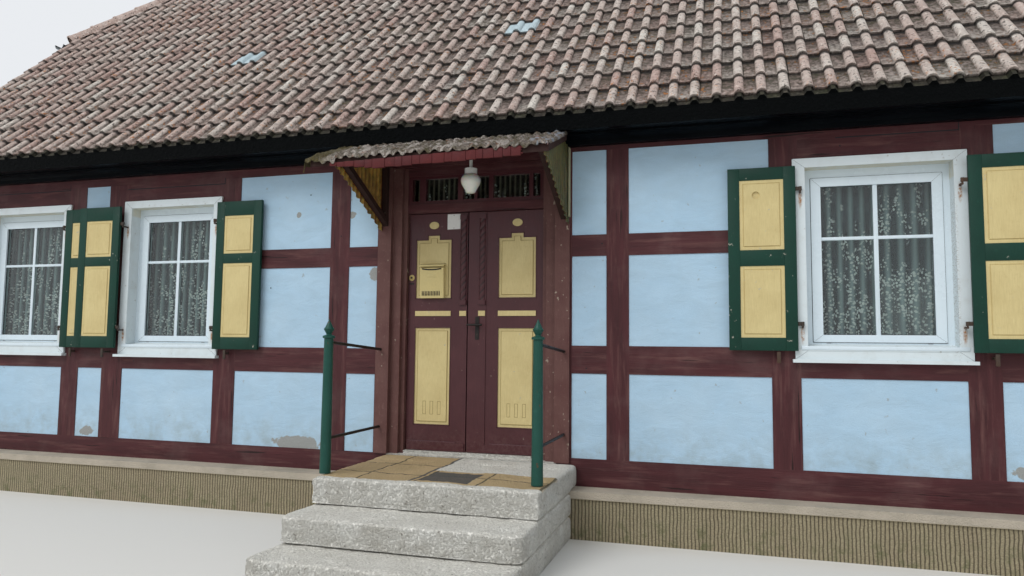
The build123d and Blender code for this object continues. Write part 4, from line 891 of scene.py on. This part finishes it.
def makeWindowTrim():
    half, flat = windowLook["uprightBar"] / 2, windowLook["levelBar"] / 2
    long, tall = windowLook["drainSize"]
    glassSide, glassFoot, glassHead = windowLook["glassInset"]
    sashSide, sashFoot, sashHead = windowLook["sashInset"]
    wholes = [bmesh.new() for _ in range(3)]
    for wall, spans in openings.items():
        bars, joints, drains = parts = [bmesh.new() for _ in range(3)]
        for u0, u1, v0, v1 in spans:
            g0, g1, h0, h1 = u0 + glassSide, u1 - glassSide, v0 + glassFoot, v1 - glassHead
            s0, s1, t0, t1 = u0 + sashSide, u1 - sashSide, v0 + sashFoot, v1 - sashHead
            middle, level = (g0 + g1) / 2, h0 + (h1 - h0) * windowLook["levelAt"]
            for front, back in ((0.099, 0.1078), (0.1322, 0.141)):         # outside and inside the pane
                addBlock(bars, (middle - half, front, h0 - 0.002), (middle + half, back, h1 + 0.002), 0.002)
                for a, b in ((g0 - 0.002, middle - half + 0.001), (middle + half - 0.001, g1 + 0.002)):
                    addBlock(bars, (a, front + 0.001, level - flat), (b, back - 0.001, level + flat), 0.002)
            addStrips(joints, g0, g1, h0, h1, -windowLook["seal"], 0.1065, 0.108)
            addStrips(joints, s0, s1, t0, t1, windowLook["seal"], 0.0985, 0.1)
            for way, x in ((1, s0), (-1, s1)):
                addDiagonal(joints, (x, t0), (way, 0.78), 0.072, 0.0897)
                addDiagonal(joints, (x, t1), (way, -0.94), 0.072, 0.0897)
            for way, x in ((1, u0 - 0.04), (-1, u1 + 0.04)):
                addDiagonal(joints, (x, v1 + 0.058), (way, -0.8), 0.09, -0.0203)
                addDiagonal(joints, (x, v0 - 0.086), (way, 0.72), 0.09, -0.0203)
            sill = v0 - 0.014                   # the short one inside the casing, with a drip edge
            addBlock(bars, (u0 + 0.002, -0.028, sill), (u1 + 0.012, 0.096, sill + 0.028), 0.004)
            foot = v0 + 0.034
            for x in (u0 + 0.21, u1 - 0.21):
                addBlock(drains, (x - long / 2, 0.0975, foot), (x + long / 2, 0.1005, foot + tall), 0.0025)
        for whole, part in zip(wholes, parts):
            addMoved(whole, part, wallFrames[wall])
            part.free()
    finishPiece("glazingBarsAndSills", wholes[0], windowPlastic)
    finishPiece("windowJoints", wholes[1], darkSeal)
    finishPiece("drainCaps", wholes[2], greyPlastic)


# lace net curtain: fine even net painted slate grey as painted shade, its fold crests lighter as painted
# highlights, with sprays of flowers that close up towards its solid hem
def laceMaterial(name, width, height, netShade, crestHighlight, bare, full):
    # the first two colours: the gauze as painted shade in a fold's valley and as painted highlight on its
    # crest; bare and full: the lace at top and foot
    material, _ = newMaterial(name, Roughness=0.9, Sheen_Weight=0.2)
    tree = material.node_tree
    cloth = addNode(tree, "UVMap").outputs[0]
    sized = addNode(tree, "Mapping", {"Vector": cloth, "Scale": (width, height, 1)}).outputs[0]
    blown = cloud(sized, 34.0, 2.0).outputs["Color"]
    bent = addNode(tree, "Mix", {0: 0.02, 4: sized, 5: blown}, data_type="VECTOR").outputs[1]
    petals = addNode(tree, "TexVoronoi", {"Vector": bent, "Scale": 44.0}).outputs[0]
    dots = spread(petals, 0.46, 0.36)
    tall = addNode(tree, "Mapping", {"Vector": sized, "Scale": (11, 3.4, 1)}).outputs[0]
    sprays = cloud(tall, 1.0, 3.0).outputs[0]
    up = alongAxis(cloth, 1)
    near = calculate("ADD", spread(up, 0.95, 0.05, bare, full), sprays)
    motif = either(both(dots, spread(near, 1.0, 1.04)), spread(up, 0.035, 0.025))
    ridge = stored(cloth, "foldCrest")
    alpha = spread(motif, toMin=spread(ridge, toMin=0.7, toMax=0.85), toMax=0.95)
    return surface(material, coats(netShade, (ridge, crestHighlight), (motif, "#e9efee")), Alpha=alpha)


def hangCurtain(name, wall, left, right, foot, top, y, folds, depth, material):
    # a grid whose columns swing to and fro; its flat width is worked out from its area and then not used
    bm = bmesh.new()
    bm.loops.layers.uv.new("cloth")
    crestHighlight = bm.verts.layers.float.new("foldCrest")
    half = ((right - left) / 2, (top - foot) / 2, 1)
    matrix = placed(((left + right) / 2, y, (foot + top) / 2), 90, "X", half)
    addGrid(bm, max(8, int(folds * 10)), 10, matrix, calc_uvs=True)
    phase = [random.uniform(0, 6.3) for _ in range(3)]
    for vert in bm.verts:
        along = (vert.co.x - left) / (right - left)
        down = (top - vert.co.z) / (top - foot)
        turn = along * folds * math.tau + phase[0] + 0.9 * math.sin(along * 9 + phase[1]) + 0.25 * down
        vert[crestHighlight] = max(0.0, math.sin(turn) * -0.6 + 0.4) ** 2
        vert.co.y += depth * (0.35 + 0.65 * down) * (math.sin(turn) + 0.3 * math.sin(turn * 0.53 + phase[2]))
        vert.co.x += 0.25 * depth * down * math.cos(turn) * (0.0 if along < 0.001 or along > 0.999 else 1.0)
    bm.transform(wallFrames[wall])
    flatWidth = sum(face.calc_area() for face in bm.faces) / (top - foot)
    piece = finishPiece(name, bm, material, sharp=80, keepFaces=True)


def makeCurtains():
    random.seed(windowLook["seed"])
    y, radius, wallFace = (windowLook[key] for key in ("curtainAt", "rodRadius", "hookBack"))
    rods = bmesh.new()
    for wall, spans in openings.items():
        wallRods = bmesh.new()
        for u0, u1, v0, v1 in spans:
            matrix = placed(((u0 + u1) / 2, y, v1 - 0.02), 90, "Y")
            made = bmesh.ops.create_cone(wallRods, cap_ends=True, cap_tris=False, segments=12, radius1=radius,
                                         radius2=radius, depth=u1 - u0 + 0.16, matrix=matrix)
            easeEdges(wallRods, made["verts"], 0.001, segments=1)
            for x in (u0 - 0.076, u1 + 0.064):      # wall hooks that carry the rod
                addBlock(wallRods, (x, wallFace, v1 - 0.034), (x + 0.012, y + 0.009, v1 - 0.026), 0.001)
                addBlock(wallRods, (x, wallFace, v1 - 0.05), (x + 0.012, 0.164, v1 + 0.01), 0.001)
        addMoved(rods, wallRods, wallFrames[wall])
        wallRods.free()
    finishPiece("curtainRods", rods, brass)
    # slate grey net as painted shade, pale grey crests as painted highlights
    lace = laceMaterial("laceNetCurtain", 1.35, 1.38, "#3b4f58", "#a3b7bb", 0.425, 0.59)
    for wall, spans in openings.items():
        for index, (u0, u1, v0, v1) in enumerate(spans):
            name = "curtain" + wall.capitalize() + str(index + 1)
            folds = (u1 - u0 + 0.06) / windowLook["foldWidth"]
            hangCurtain(name, wall, u0 - 0.03, u1 + 0.03, v0 + 0.02, v1 - 0.012, y, folds,
                        windowLook["foldDepth"], lace)
    # the fanlight's net is also painted dark as painted shade, lighter on the crests as painted highlights
    thin = laceMaterial("fanlightNet", 1.2, 0.2, "#2b2823", "#8b8373", 0.4, 0.5)
    hangCurtain("fanlightCurtain", "front", -0.625, 0.625, 2.812, 3.025, 0.138, 26, 0.005, thin)


makeWindowTrim()
makeCurtains()
print("windows trimmed and curtained")

# door trim: everything small that the leaves carry
doorTrim = {"archFoot": 0.9, "archTall": 0.113, "archWide": 0.027, "archPlaces": (-0.082, -0.014, 0.057),
            "lineWidth": 0.0035, "beadWidth": 0.009,
            "leaves": (("Left", -0.387, -0.103), ("Right", 0.393, 0.075)),    # middle of the panels, rope
            "ropeRadius": 0.0335, "ropeDeep": 0.0032, "ropeStrands": 3, "ropeTwist": 0.062, "ropeSteps": 90,
            "columnFoot": 1.905, "columnHead": 2.625, "columnDepth": 0.108,
            "bell": (-0.598, 2.112), "keyhole": (0.035, 1.607), "slots": 12, "slotSpacing": 0.0148}


def makeRope(side, x):
    depth, foot = doorTrim["columnDepth"], doorTrim["columnFoot"]
    bm = bmesh.new()
    furrowShade = bm.verts.layers.float.new("ropeFurrowShade")
    ring = bmesh.ops.create_circle(bm, segments=30, radius=1)
    for vert in ring["verts"]:
        bulge = abs(math.sin(math.atan2(vert.co.y, vert.co.x) * doorTrim["ropeStrands"] / 2))
        # the furrows carry a painted shade in the door paint
        vert[furrowShade] = max(0.0, 1 - bulge * 1.8)
        vert.co = vert.co.normalized() * (doorTrim["ropeRadius"] - doorTrim["ropeDeep"] * (1 - bulge))
    bm.transform(Matrix.Translation((x, depth, foot)))
    length = doorTrim["columnHead"] - foot
    turns, count = length / (doorTrim["ropeTwist"] * doorTrim["ropeStrands"]), doorTrim["ropeSteps"]
    bmesh.ops.spin(bm, geom=bm.verts[:] + bm.edges[:], cent=(x, depth, 0), axis=(0, 0, 1),
                   dvec=(0, 0, length / count), angle=turns * math.tau, steps=count)
    cutAway(bm, (0, 0.1005, 0), (0, 1, 0))
    finishPiece("ropeColumn" + side, bm, doorPaint, "door_" + side.lower(), sharp=60)


def makeBellAndKeyhole():
    bellX, bellZ = doorTrim["bell"]
    keyX, keyZ = doorTrim["keyhole"]
    bell, dark, eye = bmesh.new(), bmesh.new(), bmesh.new()
    addTurned(bell, [(0, 0.012), (0.009, 0.0115), (0.011, 0.008), (0.014, 0.0055), (0.023, 0.005),
                     (0.027, 0.003), (0.028, 0)], steps=32)
    bell.transform(placed((bellX, 0.1003, bellZ), 90))
    addTurned(dark, [(0, 0.0003), (0.0095, 0.0003), (0.0095, 0)])
    dark.transform(placed((bellX, 0.0882, bellZ), 90))
    addBlock(dark, (bellX - 0.024, 0.0975, bellZ - 0.06), (bellX + 0.022, 0.1004, bellZ - 0.046), 0.001)
    addTurned(eye, [(0, 0.0008), (0.006, 0.0008), (0.006, 0)])
    eye.transform(placed((keyX, 0.0872, keyZ), 90))
    addBlock(eye, (keyX - 0.0025, 0.0862, keyZ - 0.019), (keyX + 0.0025, 0.0873, keyZ), 0.0005)
    for z in (1.572, 1.748):
        addBall(eye, (keyX, 0.087, z), 0.004)
    finishPiece("bellRosette", bell, brass, "door_left")
    finishPiece("bellPlate", dark, blackIron, "door_left")
    finishPiece("keyholeAndScrews", eye, wornIron, "door_right")


def makeLetterBoxTrim():
    trim, slots = bmesh.new(), bmesh.new()
    hood = [(0.1, 2.236), (0.075, 2.234), (0.05, 2.222), (0.0445, 2.207), (0.0465, 2.2055), (0.053, 2.219),
            (0.076, 2.230), (0.1, 2.232)]
    face = trim.faces.new([trim.verts.new((-0.505, y, z)) for y, z in hood])
    grown = bmesh.ops.extrude_face_region(trim, geom=[face])
    moved = [v for v in grown["geom"] if isinstance(v, bmesh.types.BMVert)]
    bmesh.ops.translate(trim, verts=moved, vec=(0.236, 0, 0))
    addBlock(trim, (-0.432, 0.0518, 2.106), (-0.342, 0.054, 2.136), 0.001)        # empty name card holder
    finishPiece("letterBoxHood", trim, creamEnamel, "door_left")
    # black bars stand for the slots' dark openings: painted shade
    for index in range(doorTrim["slots"]):
        x = -0.481 + index * doorTrim["slotSpacing"]
        addBlock(slots, (x, 0.0568, 1.947), (x + 0.0078, 0.0606, 1.988), 0.0012)
    # a black sheet in the mouth under the hood: painted shade of the opening
    half = 0.092                                # the dark mouth under the hood, bowed down at its ends
    bend = addGrid(slots, 10, 1, placed((-0.387, 0.0495, 2.187), 90, "X", (half, 0.006, 1)))
    for vert in bend["verts"]:
        vert.co.z -= 0.009 * (1 - ((vert.co.x + 0.387) / half) ** 2)
    bmesh.ops.solidify(slots, geom=slots.faces[-10:], thickness=0.001)
    addBlock(slots, (-0.47, 0.0558, 2.06), (-0.4655, 0.0572, 2.075), 0.0005)
    finishPiece("letterBoxSlots", slots, blackIron, "door_left")


def panelOutlines(inset):
    # the upper panel with its stepped head and the lower one, about the leaf's middle
    wide, neck = 0.17 - inset, 0.058 - inset
    foot, shoulder, head = 1.923 + inset, 2.453 - inset, 2.493 - inset
    upper = [(-wide, foot), (wide, foot), (wide, shoulder), (neck, shoulder), (neck, head), (-neck, head),
             (-neck, shoulder), (-wide, shoulder)]
    foot, head = 0.808 + inset, 1.665 - inset
    return [upper, [(-wide, foot), (wide, foot), (wide, head), (-wide, head)]]


def traceOutlines(bm, outlines, centre, width, low, high, ease=0.0):
    half = width / 2
    for points in outlines:
        for (xa, za), (xb, zb) in zip(points, points[1:] + points[:1]):
            addBlock(bm, (centre + min(xa, xb) - half, low, min(za, zb) - half),
                     (centre + max(xa, xb) + half, high, max(za, zb) + half), ease)


def makeDoorMouldings():
    # thin planted beads round the panels, incised lines and arches in them drawn as thin darker strips,
    # screws on the number plate
    foot, top = doorTrim["archFoot"], doorTrim["archFoot"] + doorTrim["archTall"]
    arches = [[(x, foot), (x + doorTrim["archWide"], foot), (x + doorTrim["archWide"], top), (x, top)]
              for x in doorTrim["archPlaces"]]
    for side, centre, _ in doorTrim["leaves"]:
        beads, lines = bmesh.new(), bmesh.new()
        traceOutlines(beads, panelOutlines(0), centre, doorTrim["beadWidth"], 0.0965, 0.1005, 0.0018)
        addBlock(beads, (centre - 0.238, 0.0915, 0.642), (centre + 0.238, 0.1005, 0.668), 0.004)  # drip bar
        # the incised lines drawn as thin strips of a darker yellow-brown
        traceOutlines(lines, panelOutlines(0.03) + arches, centre, doorTrim["lineWidth"], 0.1005, 0.1058)
        finishPiece("panelBeads" + side, beads, doorPaint, "door_" + side.lower())
        finishPiece("panelLines" + side, lines, darkGrooveLines, "door_" + side.lower())
    screws = bmesh.new()
    for z in (2.552, 2.668):
        addBall(screws, (-0.199, 0.0955, z), 0.004, 12, 6, flat=0.5)
    finishPiece("plateScrews", screws, blackIron, "door_left")


for side, _, column in doorTrim["leaves"]:
    makeRope(side, column)
makeBellAndKeyhole()
makeLetterBoxTrim()
makeDoorMouldings()
print("door trimmed")

# canopy: a wavy covering buried in moss and gravelly litter, with side sheets of corrugated plastic
canopy = {"seed": 21, "left": -1.15, "right": 0.915, "front": -0.875, "back": -0.232, "boardEdge": -0.845,
          "frontTop": 2.997, "pitch": 22, "waveSpacing": 0.076, "waveHeight": 0.011, "crust": 0.014,
          "thinEdge": 0.03, "thinSide": 0.05,
          "curls": {"left": (0.03, 0.075, 0.02), "right": (0.02, 0.04, 0.014)},   # reach, drop and pull
          "ragged": 0.022, "fasciaFrom": -0.9, "fasciaTo": 0.69, "fasciaTall": 0.074, "fasciaTop": 2.955,
          "sheetWave": 0.069, "sheetDepth": 0.009, "sheetReach": 0.045, "sheetThick": 0.0018,
          "sides": {"Left": -0.847, "Right": 0.871}}


# litter crust on the canopy: gravel and broken shingles grown over with moss
def crustMaterial():
    material, place = newMaterial("mossyLitterCrust", Roughness=1.0)
    gravel = grain(place, 0.018, 0.38, 0.62, detail=7)
    moss = grain(place, 0.12, 0.48, 0.62, detail=6)
    rusty = grain(place, 0.05, 0.6, 0.7, detail=4)
    holes = grain(place, 0.03, 0.42, 0.34, detail=4)
    west = spread(alongAxis(place, 0), -0.86, -1.0)
    slate = spread(alongAxis(place, 0), 0.55, 0.8)
    shingles = grain(place, 0.05, 0.5, 0.56, (1, 5, 5), detail=3)
    colour = coats("#5f544b", (gravel, "#a2968a"), (shingles, 0.8, "#c9bfb6"),
                   (both(shingles, slate), 0.8, "#8797a8"), (moss, 0.75, "#4c4520"),
                   (rusty, 0.6, "#a0552f"), (west, 0.8, "#4a421c"),
                   (both(west, gravel), 0.5, "#6f6330"), (holes, 0.9, "#17110d"))
    return surface(material, colour, (gravel, 0.012), (moss, 0.01))


# corrugated glass-fibre sheet, yellowed and grown over with green algae
def sheetMaterial():
    material, place = newMaterial("algaeStainedCorrugatedPlastic", Roughness=0.5, Transmission_Weight=0.0,
                                  Subsurface_Weight=0.35, Subsurface_Scale=0.01)
    streaks = grain(place, 0.05, 0.38, 0.62, (1, 1, 5))
    valley = stored(place, "sheetValley")
    algae = grain(place, 0.08, 0.42, 0.6, detail=7)
    shady = spread(alongAxis(place, 0), -0.1, 0.1)
    foot = within(place, 2, 2.5, 2.78, soft=0.12)
    colour = coats("#b59f4c", (streaks, 0.6, "#77652c"), (algae, 0.35, "#4c4a1d"),
                   (shady, 0.8, "#3c4628"), (both(shady, streaks), 0.5, "#5d6640"),
                   (valley, 0.5, "#33290f"), (both(valley, algae), 0.4, "#1f1a0b"),
                   (both(foot, algae), 0.6, "#34381a"))
    return surface(material, colour, (streaks, 0.001))


def makeCanopyCover():
    bm = bmesh.new()
    left, right, front, back = canopy["left"], canopy["right"], canopy["front"], canopy["back"]
    addGrid(bm, 170, 34, placed(((left + right) / 2, (front + back) / 2, 0),
                                size=((right - left) / 2, (back - front) / 2, 1)))
    slope = math.tan(math.radians(canopy["pitch"]))
    for vert in bm.verts:
        x, y = vert.co.x, vert.co.y
        edge = min(1, max(0, (y - front) / canopy["thinEdge"]))
        side = min(1, (x - left) / canopy["thinSide"], (right - x) / canopy["thinSide"])
        vert.co.z = canopy["frontTop"] + 0.008 + (y + 0.85) * slope
        vert.co.z += canopy["waveHeight"] * (1 + math.cos(math.tau * x / canopy["waveSpacing"]))
        vert.co.z += canopy["crust"] * (0.45 + 0.9 * noiseAt((x, y, 0), 0.09)) * min(edge, side)
        if y < canopy["boardEdge"]:             # crust that hangs over the boards' edge
            drop = (canopy["boardEdge"] - y) / 0.03
            vert.co.z -= drop * (0.016 + 0.02 * (x < -0.85) + canopy["ragged"] * noiseAt((x, 0, 5), 0.07))
            vert.co.y = -0.866 - 0.01 * drop
        reach, fall, pull = canopy["curls"]["left"]
        if x < left + reach:
            curl = (left + reach - x) / reach
            vert.co.z -= fall * curl * (1 + noiseAt((x, y, 9), 0.1))
            vert.co.x += pull * curl * (0.5 + noiseAt((3, y, 2), 0.08))
        reach, fall, pull = canopy["curls"]["right"]
        if x > right - reach:
            curl = (x - right + reach) / reach
            vert.co.z -= fall * curl
            vert.co.x -= pull * curl * (0.6 + noiseAt((7, y, 2), 0.08))
    faceUp(bm, lambda face: 1)
    bmesh.ops.solidify(bm, geom=bm.faces[:], thickness=0.006)
    finishPiece("canopyCrust", bm, crustMaterial(), sharp=60)


def makeFascia():
    # short weathered boards, nailed side by side to the roof's front edge; the last ones have split away
    random.seed(canopy["seed"])
    bm = bmesh.new()
    x, start, end = canopy["fasciaFrom"], canopy["fasciaFrom"], canopy["fasciaTo"]
    while x < end:
        wide = random.uniform(0.055, 0.115)
        share = (x - start) / (end - start)
        top = canopy["fasciaTop"] + 0.035 * share
        tall = canopy["fasciaTall"] * min(1, 0.35 + share * 3) + random.uniform(-0.004, 0.004)
        front = -0.8685 + random.uniform(-0.0015, 0.0015)
        right = min(x + wide, end) - random.uniform(0.0008, 0.0035)
        addBlock(bm, (x, front, top - tall), (right, -0.8505, top), 0.002)
        x += wide
    splinters = ((0.022, 0.018, 0.004), (0.006, 0.036, 0.026), (0.014, 0.06, 0.05))
    for reach, low, high in splinters:
        addBlock(bm, (end - 0.05, -0.866, top - low), (end + reach, -0.852, top - high), 0.002)
    finishPiece("canopyFascia", bm, canopyWood, stands=["canopy_fascia"], sharp=30)


def makeSideSheets():
    # the planes that trim a sheet: its slanting foot, the roof above it in two parts, and the wall
    foot = 2.570 - canopy["sheetReach"]
    cuts = (((0, -0.025, foot), (0, -0.385, -0.785)), ((0, -0.230, 3.186), (0, -0.234, 0.580)),
            ((0, -0.025, 3.178), (0, 0.008, 0.205)), ((0, -0.027, 3), (0, 1, 0)))
    for side, x in canopy["sides"].items():
        bm = bmesh.new()
        valley = bm.verts.layers.float.new("sheetValley")
        addGrid(bm, 110, 24, placed((x, -0.42, 2.86), 90, "Y") @ placed((0, 0, 0), 90, "Z", (0.44, 0.38, 1)))
        for vert in bm.verts:
            wave = math.sin(math.tau * vert.co.y / canopy["sheetWave"])
            vert.co.x = x + canopy["sheetDepth"] * wave
            vert[valley] = 0.5 + 0.5 * wave * (-1 if side == "Left" else 1)
        for point, normal in cuts:
            cutAway(bm, point, normal)
        for vert in bm.verts:
            lowEdge = foot + 0.382 * (vert.co.y + 0.025) / -0.785
            if vert.co.z < lowEdge + 0.004 and vert.co.y < -0.05:       # broken lower edge
                vert.co.z -= 0.012 * (0.6 + noiseAt((0, vert.co.y, 4), 0.03))
        bmesh.ops.recalc_face_normals(bm, faces=bm.faces)
        bmesh.ops.solidify(bm, geom=bm.faces[:], thickness=canopy["sheetThick"])
        finishPiece("canopySheet" + side, bm, corrugatedSheet, sharp=50,
                    stands=["canopy_side_sheets"] if side == "Left" else [])


def makeBatten():
    bm = bmesh.new()
    addBlock(bm, (0.8795, -0.082, 2.585), (0.8885, -0.028, 3.17), 0.002)
    bmesh.ops.subdivide_edges(bm, edges=[e for e in bm.edges if e.calc_length() > 0.3], cuts=12)
    for vert in bm.verts:
        vert.co.y += 0.003 * noiseAt(vert.co, 0.1)
    finishPiece("canopyBatten", bm, paleBatten)


corrugatedSheet = sheetMaterial()
makeCanopyCover()
makeFascia()
makeSideSheets()
makeBatten()
print("canopy covered")

# cast steps, rounded and pitted by rain and boots
stone = {"voxel": 0.019, "rounding": 3, "wear": 0.010, "pits": 0.006, "seed": 2.0, "wallSide": -0.25}


def weatherStone(node, name, material):
    block = bmesh.new()
    block.from_mesh(cadNodes[node].data)
    bmesh.ops.remove_doubles(block, verts=block.verts, dist=0.0001)
    rough = addObject("rough", toMesh(block, "rough"))
    remesh = rough.modifiers.new("voxels", "REMESH")
    remesh.mode = "VOXEL"
    remesh.voxel_size = stone["voxel"]
    bpy.context.view_layer.update()
    shaped = bpy.data.meshes.new_from_object(rough.evaluated_get(bpy.context.evaluated_depsgraph_get()))
    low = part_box(node)[0]
    bpy.data.objects.remove(rough)
    bm = bmesh.new()
    bm.from_mesh(shaped)
    for _ in range(stone["rounding"]):
        bmesh.ops.smooth_vert(bm, verts=bm.verts, factor=0.5, use_axis_x=True, use_axis_y=True,
                              use_axis_z=True)
    bm.normal_update()
    for vert in bm.verts:
        spot = vert.co.copy()
        if spot.z > low[2] + 0.01 and spot.y < stone["wallSide"]:
            sink = stone["wear"] * (0.5 + 0.8 * noiseAt(spot, 0.28, stone["seed"]))
            pits = stone["pits"] * (1.6 if abs(vert.normal.z) < 0.5 else 0.5)        # deeper on the risers
            sink += pits * (0.4 + noiseAt(spot, 0.05, stone["seed"] + 3))
            vert.co -= vert.normal * max(0.0, sink)
        vert.co.z = max(vert.co.z, low[2])
        vert.co.y = max(vert.co.y, low[1])
    finishPiece(name, bm, material, stands=[node], sharp=70)


weatherStone("landing", "wornLanding", flaggedLanding)
weatherStone("upper_step", "wornUpperStep", castSteps)
weatherStone("lower_step", "wornLowerStep", castSteps)
print("steps worn")


# rusty catches that hang in the wall below each shutter
def makeCatches():
    bm = bmesh.new()
    for row in shutters:
        middle = sum(row["x"]) / 2 + (0.11 if row["side"] == "Left" else -0.11)
        top, back = row["low"] - 0.008, row["back"]
        addBlock(bm, (middle - 0.009, back - 0.02, top - 0.04), (middle + 0.009, 0.02, top - 0.022), 0.002)
        addBlock(bm, (middle - 0.014, back - 0.03, top - 0.085), (middle + 0.014, back - 0.018, top), 0.004)
    finishPiece("shutterCatches", bm, wornIron)


# dry joints between the wall plate and the short boards let in above the windows, and pegs in the timbers
plateJoints = {"boards": ((-3.73, -2.552, 3.058), (-5.44, -4.463, 3.086), (2.95, 3.79, 3.125),
                          (4.68, 5.52, 3.13)),
               "pegs": ((-1.6, 2.9), (-2.0, 2.03), (2.98, 3.06), (1.02, 1.33), (1.15, 2.36), (-1.27, 2.5),
                        (-3.55, 1.32))}


def makePlateJoints():
    bm = bmesh.new()
    for x0, x1, z in plateJoints["boards"]:
        addBlock(bm, (x0, -0.0012, z - 0.004), (x1, 0.003, z + 0.004), 0.0008)
        addBlock(bm, (x1 - 0.007, -0.0012, z), (x1, 0.003, z + 0.06), 0.0008)
    for x, z in plateJoints["pegs"]:
        addBall(bm, (x, -0.0005, z), 0.006, flat=0.4)
    finishPiece("plateJoints", bm, darkSeal)


makeCatches()
makePlateJoints()
print("catches and joints in place")
